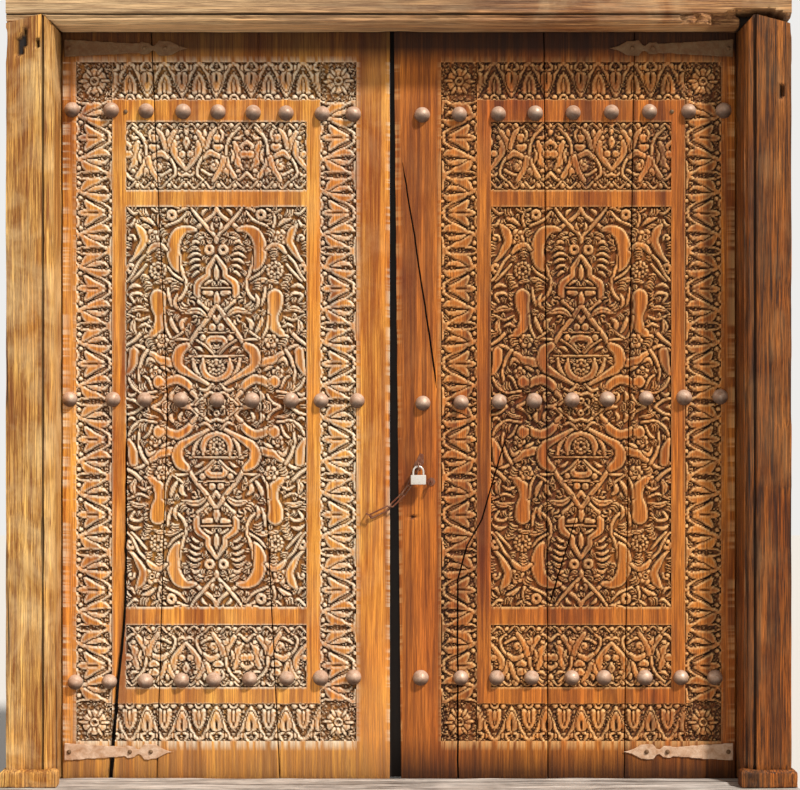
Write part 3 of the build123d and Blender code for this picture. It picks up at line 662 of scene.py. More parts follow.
@dataclass(frozen=True)
class CarvedField:
    """Where each carved zone of a leaf lies, in metres from the middle of the doorway, and its depth."""

    depth: float = 0.0092
    wander: float = 0.0011
    wander_size: float = 0.055
    tremor_size: float = 0.021
    panel_repeat: float = 62.5 / 185
    outer_left: float = 0.117
    outer_right: float = 0.893
    inner_left: float = 0.217
    inner_right: float = 0.793
    foot: float = 0.194
    head: float = 2.075
    inner_foot: float = 0.299
    inner_head: float = 1.970
    panel_left: float = 0.255
    panel_right: float = 0.755
    main_foot: float = 0.566
    main_head: float = 1.674
    low_foot: float = 0.344
    low_head: float = 0.516
    high_foot: float = 1.721
    high_head: float = 1.909
    border_repeats: int = 8
    strip_repeats: int = 12
    tiles: dict[str, Gouge] = field(default_factory=dict)

    def carve(self) -> None:
        """Draw all the tiles."""
        self.tiles["main"] = draw_main_quarter()
        self.tiles["border"] = draw_side_border()
        self.tiles["strip"] = draw_strip()
        self.tiles["small"] = draw_small_panel()
        self.tiles["corner"] = draw_corner()

    def folded(self, share: np.ndarray, repeats: int) -> np.ndarray:
        """Share of the way along a mirrored repeat, from 0 to 1."""
        turn = np.mod(share * repeats, 2)
        return 1 - np.abs(1 - turn)

    def height(self, u: np.ndarray, z: np.ndarray, seed: int) -> np.ndarray:
        """Height of the carving over a leaf.

        Args:
            u: Distance from the middle of the doorway.
            z: Height above the ground.
            seed: Which leaf, so that no two are cut quite alike.

        Returns:
            1 where the face stands, 0 at the ground.
        """
        result = np.ones_like(u)
        a, b = (place + self.wander * (ripple(u, z, self.wander_size, seed + which)
                                       + 0.5 * ripple(u, z, self.tremor_size, seed + 3 + which))
                for which, place in enumerate((u, z)))

        def within(x0: float, x1: float, z0: float, z1: float) -> np.ndarray:
            """Which places lie in a zone."""
            return (u > x0) & (u < x1) & (z > z0) & (z < z1)

        def put(zone: np.ndarray, tile: Gouge, across: np.ndarray, up: np.ndarray) -> None:
            """Set the height in a zone from shares of a tile."""
            result[zone] = tile.read(across[zone] * tile.width, up[zone] * tile.height_steps)

        half_width = (self.panel_right - self.panel_left) / 2
        middle = self.panel_left + half_width
        half_height = (self.main_head - self.main_foot) / 2
        centre = self.main_foot + half_height
        put(within(self.panel_left, self.panel_right, self.main_foot, self.main_head), self.tiles["main"],
            np.abs(a - middle) / half_width, np.abs(b - centre) / half_height)
        period = self.panel_repeat * (self.panel_right - self.panel_left)
        for foot, head, flip in ((self.low_foot, self.low_head, True),
                                 (self.high_foot, self.high_head, False)):
            up = (b - foot) / (head - foot)
            put(within(self.panel_left, self.panel_right, foot, head), self.tiles["small"],
                self.folded((a - middle - period / 2) / period, 1), 1 - up if flip else up)
        run = (b - self.inner_foot) / (self.inner_head - self.inner_foot)
        borders = ((self.outer_left, self.inner_left), (self.inner_right, self.outer_right))
        for left, right in borders:
            across = (a - left) / (right - left)
            put(within(left, right, self.inner_foot, self.inner_head), self.tiles["border"],
                across, self.folded(run, self.border_repeats * 2))
        along = (a - self.inner_left) / (self.inner_right - self.inner_left)
        for foot, head in ((self.foot, self.inner_foot), (self.inner_head, self.head)):
            up = (b - foot) / (head - foot)
            if foot == self.foot:
                up = 1 - up
            put(within(self.inner_left, self.inner_right, foot, head), self.tiles["strip"],
                self.folded(along, self.strip_repeats), up)
            for left, right in borders:
                put(within(left, right, foot, head), self.tiles["corner"],
                    (a - left) / (right - left), up)
        return result


# Meshes

class Shells:
    """Collects closed shells for one piece, with a few numbers kept at each vertex."""

    # Marks kept at each vertex: sunk darkens towards a ground colour, as painted shade in recesses and under
    # things, with some dirt; edge pales rims, as wear and painted highlight; crack paints near black, as
    # painted shade in cracks, holes, grooves and gaps.
    CHANNELS = ("sunk", "edge", "crack")

    def __init__(self) -> None:
        """Start with nothing."""
        self.points: list[np.ndarray] = []
        self.marks: list[np.ndarray] = []
        self.faces: list[tuple[int, ...]] = []
        self.count = 0

    def add(self, points: np.ndarray, faces: Sequence[Sequence[int]],
            marks: np.ndarray | None = None) -> None:
        """Add a shell.

        Args:
            points: Its vertices, one in each row.
            faces: Its faces, numbered from its own first vertex.
            marks: Its numbers for each vertex, one column for each channel, nothing where not given.
        """
        points = np.asarray(points, float)
        if marks is None:
            marks = np.zeros((len(points), 3))
        self.points.append(points)
        self.marks.append(marks)
        self.faces += [tuple(int(i) + self.count for i in face) for face in faces]
        self.count += len(points)

    def prism(self, outline: Sequence[Point], front: float, back: float, crack: float = 0.0) -> None:
        """Straight slab between two depths from an outline in X and Z, its front marked as a crack, which
        paints it near black as painted shade.
        """
        size = len(outline)
        marks = np.zeros((2 * size, 3))
        marks[:size, 2] = crack
        points = [(x, front, z) for x, z in outline] + [(x, back, z) for x, z in outline]
        faces: list[tuple[int, ...]] = [tuple(range(size)), tuple(range(2 * size - 1, size - 1, -1))]
        faces += [(i, i + size, (i + 1) % size + size, (i + 1) % size) for i in range(size)]
        self.add(np.array(points), faces, marks)

    def box(self, low: Sequence[float], high: Sequence[float]) -> None:
        """Box between two corners."""
        self.prism([(low[0], low[2]), (high[0], low[2]), (high[0], high[2]), (low[0], high[2])],
                   low[1], high[1])

    def post(self, x: float, y: float, radius: float, low: float, high: float, sides: int = 40) -> None:
        """Upright round post with slightly eased ends."""
        ease = min(0.002, radius / 4)
        rings = ((low, radius - ease), (low + ease, radius), (high - ease, radius), (high, radius - ease))
        angles = np.linspace(0, 2 * math.pi, sides, endpoint=False)
        points = [(x + r * math.cos(a), y + r * math.sin(a), z) for z, r in rings for a in angles]
        faces: list[tuple[int, ...]] = [tuple(range(sides - 1, -1, -1))]
        faces.append(tuple(range(3 * sides, 4 * sides)))
        for ring in range(3):
            faces += [(ring * sides + i, ring * sides + (i + 1) % sides,
                       (ring + 1) * sides + (i + 1) % sides, (ring + 1) * sides + i) for i in range(sides)]
        self.add(np.array(points), faces)

    def piece(self, name: str, flip: bool, smooth: float) -> bpy.types.Object:
        """Make the object.

        Args:
            name: Its name.
            flip: Whether to mirror it to the other side of the doorway.
            smooth: Angle in degrees under which faces are shaded as one.

        Returns:
            The object, with its place in its mesh.
        """
        points = np.vstack(self.points)
        if flip:
            points = points * (-1.0, 1.0, 1.0)
        mesh = bpy.data.meshes.new(name)
        mesh.from_pydata(points.tolist(), [], self.faces)
        marks = np.vstack(self.marks)
        for column, channel in enumerate(self.CHANNELS):
            mesh.attributes.new(channel, "FLOAT", "POINT").data.foreach_set(
                "value", marks[:, column].astype(np.float32))
        outward(mesh)
        mesh.shade_smooth()
        mesh.set_sharp_from_angle(angle=math.radians(smooth))
        return placed(name, mesh)


def placed(name: str, data: bpy.types.ID) -> bpy.types.Object:
    """New object in the scene that holds a mesh, a lamp or a camera."""
    made = bpy.data.objects.new(name, data)
    bpy.context.scene.collection.objects.link(made)
    return made


def outward(mesh: bpy.types.Mesh) -> None:
    """Turn the faces of every closed shell of a mesh outwards."""
    work = bmesh.new()
    work.from_mesh(mesh)
    bmesh.ops.recalc_face_normals(work, faces=work.faces)
    work.to_mesh(mesh)
    work.free()
    mesh.update()


def spaced(start: float, end: float, step: float) -> np.ndarray:
    """Even places from start to end, about a step apart, the end left out."""
    count = max(1, int(round((end - start) / step)))
    return np.linspace(start, end, count, endpoint=False)


def install(piece: bpy.types.Object, body: str, material: bpy.types.Material,
            nodes: Sequence[str] = ()) -> bpy.types.Object:
    """Dress a piece, put it on its body and let it stand for the model's own nodes.

    Args:
        piece: The object.
        body: The moving body that carries it.
        material: Its finish.
        nodes: Nodes of the model that it stands for.

    Returns:
        The same object.
    """
    piece.data.materials.clear()
    piece.data.materials.append(material)
    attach(piece, body)
    if nodes:
        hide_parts(*nodes)
    log.info("%s: %d faces on %s", piece.name, len(piece.data.polygons), body)
    return piece


# Finishes

class Nodes:
    """Short way to build a node tree."""

    def __init__(self, tree: bpy.types.NodeTree) -> None:
        """Work on a tree."""
        self.tree = tree

    def add(self, kind: str, inputs: dict | None = None, **settings: object) -> bpy.types.Node:
        """Add a node.

        Args:
            kind: Type of the node.
            inputs: Values or sockets for its inputs, by name or number.
            settings: Its other settings.

        Returns:
            The node.
        """
        node = self.tree.nodes.new(kind)
        for name, value in settings.items():
            setattr(node, name, value)
        for name, value in (inputs or {}).items():
            if isinstance(value, bpy.types.NodeSocket):
                self.tree.links.new(value, node.inputs[name])
            else:
                node.inputs[name].default_value = value
        return node

    def noise(self, vector: bpy.types.NodeSocket, scale: float, detail: float = 3.0, rough: float = 0.55,
              bend: float = 0.0) -> bpy.types.NodeSocket:
        """Value of a noise texture."""
        node = self.add("ShaderNodeTexNoise", {"Vector": vector, "Scale": scale, "Detail": detail,
                                               "Roughness": rough, "Distortion": bend})
        return node.outputs["Fac"]

    def span(self, value: bpy.types.NodeSocket, low: float, high: float, start: float = 0.0,
             end: float = 1.0) -> bpy.types.NodeSocket:
        """A value stretched from one range to another and held within it."""
        return self.add("ShaderNodeMapRange", {"Value": value, "From Min": low, "From Max": high,
                                               "To Min": start, "To Max": end}).outputs[0]

    def sum(self, kind: str, a: object, b: object, clamp: bool = True) -> bpy.types.NodeSocket:
        """Result of a sum on two values, held from 0 to 1 unless told otherwise."""
        return self.add("ShaderNodeMath", {0: a, 1: b}, operation=kind, use_clamp=clamp).outputs[0]

    def mix(self, share: object, a: object, b: object) -> bpy.types.NodeSocket:
        """Mix of two colours."""
        node = self.add("ShaderNodeMix", data_type="RGBA")
        for index, value in ((0, share), (6, a), (7, b)):
            if isinstance(value, bpy.types.NodeSocket):
                self.tree.links.new(value, node.inputs[index])
            elif index == 0:
                node.inputs[0].default_value = value
            else:
                node.inputs[index].default_value = (*value, 1.0) if len(value) == 3 else value
        return node.outputs[2]

    def stretched(self, vector: bpy.types.NodeSocket, scale: Sequence[float]) -> bpy.types.NodeSocket:
        """Coordinates scaled by their own amount on each axis."""
        return self.add("ShaderNodeMapping", {"Vector": vector, "Scale": tuple(scale)}).outputs[0]


def shader_group(name: str, inputs: Sequence[tuple[str, str, object]],
                 outputs: Sequence[tuple[str, str]]) -> tuple[bpy.types.NodeTree, Nodes, dict, dict]:
    """Start a shader node group with named sockets.

    Args:
        name: Name of the group.
        inputs: Name, kind and default value of each input.
        outputs: Name and kind of each output.

    Returns:
        The group, its builder, its input sockets by name and its output sockets by name.
    """
    tree = bpy.data.node_groups.new(name, "ShaderNodeTree")
    kinds = {"value": "NodeSocketFloat", "colour": "NodeSocketColor", "vector": "NodeSocketVector"}
    for label, kind, value in inputs:
        made = tree.interface.new_socket(label, in_out="INPUT", socket_type=kinds[kind])
        if value is not None:
            made.default_value = value
    for label, kind in outputs:
        tree.interface.new_socket(label, in_out="OUTPUT", socket_type=kinds[kind])
    builder = Nodes(tree)
    entry, leave = builder.add("NodeGroupInput"), builder.add("NodeGroupOutput")
    return (tree, builder, {s.name: s for s in entry.outputs if s.name},
            {s.name: s for s in leave.inputs if s.name})


def timber_grain() -> bpy.types.NodeTree:
    """Group: streaks, fibres and patches of timber whose fibres run along Z."""
    tree, n, given, out = shader_group(
        "Timber grain", [("Vector", "vector", None)],
        [("Streak", "value"), ("Fibre", "value"), ("Patch", "value")])
    wide = n.stretched(given["Vector"], (34, 34, 1.0))
    streak = n.span(n.noise(wide, 1.0, 4.0, 0.62, 1.1), 0.36, 0.64)
    thin = n.stretched(given["Vector"], (250, 250, 6.5))
    fibre = n.span(n.noise(thin, 1.0, 4.0, 0.7, 0.5), 0.40, 0.62)
    slow = n.stretched(given["Vector"], (5.5, 5.5, 1.7))
    patch = n.span(n.noise(slow, 1.0, 3.0, 0.55, 0.8), 0.3, 0.7)
    n.tree.links.new(streak, out["Streak"])
    n.tree.links.new(fibre, out["Fibre"])
    n.tree.links.new(patch, out["Patch"])
    return tree


# Near black painted into cracks, holes, grooves and the gaps between planks: painted shade.
CRACK_SHADE_COLOUR = (0.012, 0.007, 0.005)


def dust_wear_and_painted_light() -> bpy.types.NodeTree:
    """Group: darkens what is sunk, as painted shade with some dirt; lightens worn edges, as wear and painted
    highlight; paints cracks near black, as painted shade; and lays dust over patches.
    """
    tree, n, given, out = shader_group(
        "Dust, wear and painted light",
        [("Colour", "colour", (0.5, 0.3, 0.1, 1)), ("Ground", "colour", (0.15, 0.08, 0.04, 1)),
         ("Worn", "colour", (0.8, 0.6, 0.4, 1)), ("Dust", "colour", (0.6, 0.5, 0.4, 1)),
         ("Sunk", "value", 0.0), ("Edge", "value", 0.0), ("Crack", "value", 0.0), ("Dusty", "value", 0.0)],
        [("Colour", "colour"), ("Roughness", "value")])
    colour = n.mix(given["Dusty"], given["Colour"], given["Dust"])
    colour = n.mix(given["Sunk"], colour, given["Ground"])
    colour = n.mix(given["Edge"], colour, given["Worn"])
    colour = n.mix(given["Crack"], colour, CRACK_SHADE_COLOUR)
    n.tree.links.new(colour, out["Colour"])
    rough = n.sum("ADD", n.sum("MULTIPLY", given["Dusty"], 0.25), 0.58)
    rough = n.sum("ADD", rough, n.sum("MULTIPLY", given["Sunk"], 0.2))
    n.tree.links.new(rough, out["Roughness"])
    return tree


def hammered_skin() -> bpy.types.NodeTree:
    """Group: dents of the hammer, pits and the places where rust shows."""
    tree, n, given, out = shader_group(
        "Hammered skin",
        [("Vector", "vector", None), ("Dent size", "value", 90.0), ("Rust", "value", 0.5)],
        [("Height", "value"), ("Rusty", "value"), ("Speck", "value")])
    dents = n.add("ShaderNodeTexNoise", {"Vector": given["Vector"], "Scale": given["Dent size"],
                                         "Detail": 2.0})
    pits = n.noise(given["Vector"], 620.0, 4.0, 0.7)
    height = n.sum("ADD", n.sum("MULTIPLY", dents.outputs["Fac"], 0.7), n.sum("MULTIPLY", pits, 0.3))
    patch = n.noise(given["Vector"], 42.0, 4.0, 0.62, 0.7)
    rusty = n.span(n.sum("ADD", n.sum("MULTIPLY", patch, 0.6), n.sum("MULTIPLY", given["Rust"], 0.4)),
                   0.38, 0.62)
    n.tree.links.new(height, out["Height"])
    n.tree.links.new(rusty, out["Rusty"])
    n.tree.links.new(n.span(pits, 0.4, 0.7), out["Speck"])
    return tree


class Grain(Enum):
    """Which way the fibres of a timber run."""

    UPRIGHT = (0.0, 0.0, 0.0)
    LEVEL = (0.0, math.pi / 2, 0.0)


@dataclass(frozen=True)
class TimberFinish:
    """Weathered timber: colours, which way its fibres run, how worn it is, and where shade and highlight are
    painted on it.
    """

    name: str
    dark: Colour
    middle: Colour
    light: Colour
    # ground: colour that sunk places turn to, painted shade with some dirt; worn: colour of pale rims, wear
    # and painted highlight
    ground: Colour
    worn: Colour
    dust: Colour
    grain: Grain = Grain.UPRIGHT
    edge_share: float = 0.85
    dust_share: float = 0.25
    bump: float = 0.5
    figure: float = 0.7
    foot_dust: float = 0.0
    fissures: float = 0.0
    head_shade: float = 0.0
    foot_shade: float = 0.0
    paler_to_left: float = 0.0

    def make(self, groups: dict[str, bpy.types.NodeTree]) -> bpy.types.Material:
        """Build the material.

        Args:
            groups: Shared node groups by name.

        Returns:
            The material.
        """
        material = bpy.data.materials.new(self.name)
        material.use_nodes = True
        n = Nodes(material.node_tree)
        links = material.node_tree.links
        shader = material.node_tree.nodes["Principled BSDF"]
        shader.inputs["Specular IOR Level"].default_value = 0.32
        place = n.add("ShaderNodeTexCoord").outputs["Object"]
        turned = n.add("ShaderNodeMapping", {"Vector": place, "Rotation": self.grain.value}).outputs[0]
        grain = n.add("ShaderNodeGroup", {"Vector": turned}, node_tree=groups["grain"])
        streak, fibre, patch = (grain.outputs[name] for name in ("Streak", "Fibre", "Patch"))
        colour = n.mix(streak, self.dark, self.middle)
        pale = n.sum("MULTIPLY", patch, n.span(streak, 0.0, 1.0, 0.25, 0.9))
        colour = n.mix(pale, colour, self.light)
        colour = n.mix(n.sum("MULTIPLY", fibre, self.figure), colour, self.dark)
        marks = {name: n.add("ShaderNodeAttribute", attribute_name=name).outputs["Fac"]
                 for name in ("sunk", "edge", "crack")}
        cracks = marks["crack"]
        if self.fissures:
            thin = n.stretched(turned, (46, 46, 1.1))
            lines = n.span(n.noise(thin, 1.0, 2.0, 0.5, 0.9), 0.33, 0.27)
            cracks = n.sum("MAXIMUM", cracks, n.sum("MULTIPLY", lines, self.fissures))
        dusty = n.sum("MULTIPLY", n.span(n.noise(place, 7.0, 4.0, 0.6, 0.5), 0.45, 0.75), self.dust_share)
        axes = n.add("ShaderNodeSeparateXYZ", {0: place}).outputs
        if self.foot_dust:
            low = n.span(axes[2], 0.62, 0.1, 0.0, self.foot_dust)
            dusty = n.sum("MAXIMUM", dusty, n.sum("MULTIPLY", low, n.span(fibre, 0.1, 0.7, 0.45, 1.0)))
        # Paler towards the left end
        if self.paler_to_left:
            aside = n.span(axes[0], 0.55, -0.75, 0.0, self.paler_to_left)
            dusty = n.sum("MAXIMUM", dusty, n.sum("MULTIPLY", aside, n.span(fibre, 1.0, 0.0, 0.35, 1.0)))
        # Painted shade: the sunk mark, the painted shadow of the lintel over a leaf's head and painted shade
        # along its foot all darken towards the ground colour
        sunk = marks["sunk"]
        if self.head_shade:
            sunk = n.sum("MAXIMUM", sunk, n.span(axes[2], 2.055, 2.115, 0.0, self.head_shade))
        if self.foot_shade:
            sunk = n.sum("MAXIMUM", sunk, n.span(axes[2], 0.21, 0.11, 0.0, self.foot_shade))
        # Pale rims from the edge mark: wear, and painted highlight
        edge = n.sum("MULTIPLY", marks["edge"], n.span(patch, 0.0, 1.0, 0.6, 1.0))
        wear_and_light = n.add("ShaderNodeGroup",
                     {"Colour": colour, "Ground": (*self.ground, 1.0), "Worn": (*self.worn, 1.0),
                      "Dust": (*self.dust, 1.0), "Sunk": sunk, "Crack": cracks, "Dusty": dusty,
                      "Edge": n.sum("MULTIPLY", edge, self.edge_share)}, node_tree=groups["wear_and_light"])
        links.new(wear_and_light.outputs["Colour"], shader.inputs["Base Color"])
        links.new(wear_and_light.outputs["Roughness"], shader.inputs["Roughness"])
        raised = n.sum("ADD", n.sum("MULTIPLY", fibre, 0.55), n.sum("MULTIPLY", streak, 0.35))
        raised = n.sum("SUBTRACT", raised, n.sum("MULTIPLY", cracks, 0.8))
        bump = n.add("ShaderNodeBump", {"Height": raised, "Strength": self.bump, "Distance": 0.002})
        links.new(bump.outputs[0], shader.inputs["Normal"])
        return material


@dataclass(frozen=True)
class IronFinish:
    """Forged metal: clean and rusty colours, how rusty it is and how strongly it is hammered."""

    name: str
    clean: Colour
    rust: Colour
    speck: Colour
    rust_share: float
    dent_size: float = 90.0
    bump: float = 0.5
    metallic: float = 0.7
    rough_clean: float = 0.45
    rough_rusty: float = 0.85
    under: float = 0.0

    def make(self, groups: dict[str, bpy.types.NodeTree]) -> bpy.types.Material:
        """Build the material.

        Args:
            groups: Shared node groups by name.

        Returns:
            The material.
        """
        material = bpy.data.materials.new(self.name)
        material.use_nodes = True
        n = Nodes(material.node_tree)
        links = material.node_tree.links
        shader = material.node_tree.nodes["Principled BSDF"]
        place = n.add("ShaderNodeTexCoord").outputs["Object"]
        skin = n.add("ShaderNodeGroup", {"Vector": place, "Dent size": self.dent_size,
                                         "Rust": self.rust_share}, node_tree=groups["skin"])
        rusty = skin.outputs["Rusty"]
        colour = n.mix(rusty, self.clean, self.rust)
        colour = n.mix(n.sum("MULTIPLY", skin.outputs["Speck"], 0.4), colour, self.speck)
        # Painted shade: the underside of a nail head darkened towards the speck colour
        if self.under:
            below = n.add("ShaderNodeAttribute", attribute_name="sunk").outputs["Fac"]
            colour = n.mix(n.sum("MULTIPLY", below, self.under), colour, self.speck)
        links.new(colour, shader.inputs["Base Color"])
        links.new(n.span(rusty, 0.0, 1.0, self.rough_clean, self.rough_rusty), shader.inputs["Roughness"])
        links.new(n.span(rusty, 0.0, 1.0, self.metallic, 0.0), shader.inputs["Metallic"])
        bump = n.add("ShaderNodeBump", {"Height": skin.outputs["Height"], "Strength": self.bump,
                                        "Distance": 0.0015})
        links.new(bump.outputs[0], shader.inputs["Normal"])
        return material


# Leaves

@dataclass(frozen=True)
class Crack:
    """A crack in a leaf: its line from head to foot, its width at both ends and its depth."""

    line: tuple[Point, ...]
    head_width: float
    foot_width: float
    depth: float = 0.016

    def middle(self, z: np.ndarray, seed: int) -> np.ndarray:
        """Where its middle lies at each height, wandering a little."""
        levels = [spot[1] for spot in self.line][::-1]
        places = [spot[0] for spot in self.line][::-1]
        return np.interp(z, levels, places) + 0.0014 * ripple(z, z * 0 + seed, 0.028, seed)

    def width(self, z: np.ndarray) -> np.ndarray:
        """How wide it is at each height, nothing beyond its ends."""
        head, foot = self.line[0][1], self.line[-1][1]
        wide = np.interp(z, (foot, head), (self.foot_width, self.head_width))
        ends = np.clip((head - z) / 0.05, 0, 1)
        if foot > LEAF_FOOT + 0.04:
            ends = ends * np.clip((z - foot) / 0.05, 0, 1)
        return wide * ends


@dataclass
class Leaf:
    """One leaf: three carved planks with their laps, pivots, cracks and holes."""

    side: Side
    joints: tuple[tuple[float, float, float], tuple[float, float, float]]
    meeting_front: tuple[float, float, float]
    meeting_back: float
    tight_above: float
    cracks: tuple[Crack, ...]
    carving: CarvedField
    holes: tuple[tuple[float, float, float], ...] = ()
    seed: int = 1
    gap: float = 0.003
    lap: float = 0.014
    clearance: float = 0.0006
    tight_gap: float = 0.0004
    waver: float = 0.0005
    rim: float = 0.0005
    least_step: float = 0.0004
    flare: float = 1.7
    hole_depth: float = 0.012
    fibre_relief: float = 0.00025
    warp: float = 0.0009
    edge_fall: float = 0.0022
    edge_width: float = 0.0045
    # Share of the pale edge mark spread evenly as wear; the rest is painted highlight on the edges towards
    # the light
    even_edge_share: float = 0.75
    joint_shade: float = 0.7
    meeting_shade: float = 0.4
    mesh_step: float = 0.00335
    plain_step: float = 0.013
    stile_radius: float = 0.0185
    pivot_radius: float = 0.015
    pivot_length: float = 0.042

    def edge(self, spots: tuple[float, float, float], z: np.ndarray, move: float) -> np.ndarray:
        """Where a plank's edge lies at each height.

        Args:
            spots: The edge at foot, middle and head.
            z: Heights.
            move: How far the plank stops short of it, negative towards the meeting edge.

        Returns:
            Distances from the middle of the doorway.
        """
        middle = (LEAF_FOOT + LEAF_HEAD) / 2
        line = np.interp(z, (LEAF_FOOT, middle, LEAF_HEAD), spots)
        waver = self.waver * ripple(z, z * 0, 0.05, self.seed + int(spots[0] * 1000))
        return line + move + waver

    def rows(self) -> np.ndarray:
        """Heights of the mesh's rows, closer over the carving."""
        c = self.carving
        places = [spaced(LEAF_FOOT, c.foot, self.plain_step), (c.foot, c.foot + 0.0009),
                  spaced(c.foot + 0.0028, c.head - 0.0028, self.mesh_step), (c.head - 0.0009, c.head),
                  spaced(c.head + 0.004, LEAF_HEAD, self.plain_step), (LEAF_HEAD,)]
        for level in (c.inner_foot, c.inner_head, c.low_foot, c.low_head, c.main_foot, c.main_head,
                      c.high_foot, c.high_head):
            places.append((level - self.rim, level + self.rim))
        rows = np.unique(np.concatenate([np.asarray(place, float) for place in places]))
        return rows[np.concatenate(([True], np.diff(rows) > self.least_step))]

    def columns(self, low: float, high: float) -> np.ndarray:
        """Distances of the mesh's columns between two limits, closer over the carving."""
        c = self.carving
        zones = ((0.0, c.outer_left, self.plain_step), (c.outer_left, c.inner_left, self.mesh_step),
                 (c.inner_left, c.panel_left, self.mesh_step * 1.3),
                 (c.panel_left, c.panel_right, self.mesh_step),
                 (c.panel_right, c.inner_right, self.mesh_step * 1.3),
                 (c.inner_right, c.outer_right, self.mesh_step), (c.outer_right, LEAF_SIDE, self.plain_step))
        places = [spaced(start, end, step) for start, end, step in zones]
        places.append(spaced(-0.03, 0.0, self.plain_step))
        for line in (c.outer_left, c.inner_left, c.panel_left, c.panel_right, c.inner_right, c.outer_right):
            places.append(np.array((line - self.rim, line + self.rim)))
        columns = np.unique(np.concatenate(places))
        columns = columns[np.concatenate(([True], np.diff(columns) > self.least_step))]
        return columns[(columns > low + self.least_step) & (columns < high - self.least_step)]

    def tracks(self, low: np.ndarray, high: np.ndarray, z: np.ndarray) -> np.ndarray:
        """Distances of the mesh's places from the middle of the doorway, closer along the cracks.

        Args:
            low: Inner edge at each row.
            high: Outer edge at each row.
            z: Heights of the rows.

        Returns:
            Distances, one row of them for each height.
        """
        columns = self.columns(low.min(), high.max())
        tracks = [np.broadcast_to(columns, (len(z), len(columns)))]
        for crack in self.cracks:
            line = crack.middle(z, self.seed)
            if np.mean((line > low) & (line < high)) > 0.3:
                half_width = np.maximum(crack.width(z) / 2, 0.0006)
                tracks += [(line + share * half_width)[:, None]
                           for share in (-self.flare, -0.9, 0.0, 0.9, self.flare)]
        inner, outer = low[:, None], high[:, None]
        u = np.sort(np.concatenate(tracks, axis=1), axis=1)
        return np.concatenate([inner, np.clip(u, inner, outer), outer], axis=1)

    def surface(self, u: np.ndarray, z: np.ndarray) -> tuple[np.ndarray, np.ndarray, np.ndarray]:
        """Carved face of a plank with its wear, painted shade and highlight, cracks and rounded edges.

        Args:
            u: Distances of its places from the middle of the doorway, from the plank's inner edge to
                its outer edge in each row.
            z: Heights of the rows.

        Returns:
            Height and depth of each place, and its marks.
        """
        level = np.repeat(z[:, None], u.shape[1], axis=1)
        face = self.carving.height(u, level, self.seed)
        blurred = face.copy()
        for shift, axis in ((1, 0), (-1, 0), (1, 1), (-1, 1), (2, 0), (-2, 0), (2, 1), (-2, 1)):
            blurred += np.roll(face, shift, axis)
        blurred /= 9
        # Pale edges: wear, and painted highlight, which makes the edges towards the light the palest
        rise_z, rise_u = np.gradient(blurred)
        toward_light = -(rise_u * 0.5 * self.side.value + rise_z * 0.86)
        toward_light /= np.hypot(rise_u, rise_z) + 1e-6
        even = self.even_edge_share
        worn = np.clip((face - blurred) * (2.4 + 2.2 * even), 0, 1) * face
        worn *= even + (1 - even) * np.clip(toward_light, 0, 1)
        # Painted shade: the carved ground is darkened, most at the foot of the walls beside what stands, with
        # some dirt
        sunk = (1 - face) ** 0.8 * np.clip((blurred - 0.02) * 3.4, 0.5, 1)
        deep = self.carving.depth * (0.9 + 0.1 * ripple(u, level, 0.03, self.seed + 7))
        y = LEAF_FRONT + deep * (1 - face)
        y += (self.fibre_relief * grain_height(u, level, self.seed)
              + self.warp * ripple(u, level, 0.25, self.seed + 9) ** 2)
        aside = np.minimum(np.minimum(u - u[:, :1], u[:, -1:] - u),
                           np.minimum(level - LEAF_FOOT, LEAF_HEAD - level))
        y += self.edge_fall * np.clip(1 - aside / self.edge_width, 0, 1) ** 2
        # Cracks and holes are sunk deeper and marked to be painted near black, as painted shade in them
        crack = np.zeros_like(u)
        for split in self.cracks:
            half_width = split.width(z)[:, None] / 2
            gap = np.abs(u - split.middle(z, self.seed)[:, None])
            share = np.clip((self.flare - gap / (half_width + 1e-6)) / 0.8, 0, 1)
            share = np.where(half_width > 0.0002, share, 0.0)
            y += split.depth * share
            crack = np.maximum(crack, share)
        for hole_u, hole_z, radius in self.holes:
            share = np.clip(1.3 - np.hypot(u - hole_u, level - hole_z) / radius, 0, 1)
            y += self.hole_depth * share
            crack = np.maximum(crack, share)
        return level, y, np.stack([sunk, worn, crack], axis=-1)

    def front(self, shells: Shells, low: np.ndarray, high: np.ndarray, z: np.ndarray, back: float) -> None:
        """Add the carved front layer of a plank as one closed shell.

        Args:
            shells: What it is added to.
            low: Inner edge at each row.
            high: Outer edge at each row.
            z: Heights of the rows.
            back: Depth of its back face.
        """
        u = self.tracks(low, high, z)
        level, y, marks = self.surface(u, z)
        y = np.minimum(y, back - 0.003)
        # Places that an edge has cut off stand on it and count as one
        rows, cols = u.shape
        number = np.arange(rows * cols).reshape(rows, cols)
        for r in range(rows):
            number[r][u[r] <= low[r] + self.least_step] = number[r, 0]
            number[r][u[r] >= high[r] - self.least_step] = number[r, -1]
        quads = np.stack([number[:-1, :-1], number[:-1, 1:], number[1:, 1:], number[1:, :-1]], -1)
        quads = quads.reshape(-1, 4)
        whole = (quads[:, 0] != quads[:, 1]) & (quads[:, 2] != quads[:, 3])
        faces: list[tuple[int, ...]] = [tuple(row) for row in quads[whole].tolist()]
        for quad in quads[~whole].tolist():
            corners = list(dict.fromkeys(quad))
            if len(corners) == 3:
                faces.append(tuple(corners))
        points = np.stack([u, y, level], axis=-1).reshape(-1, 3)
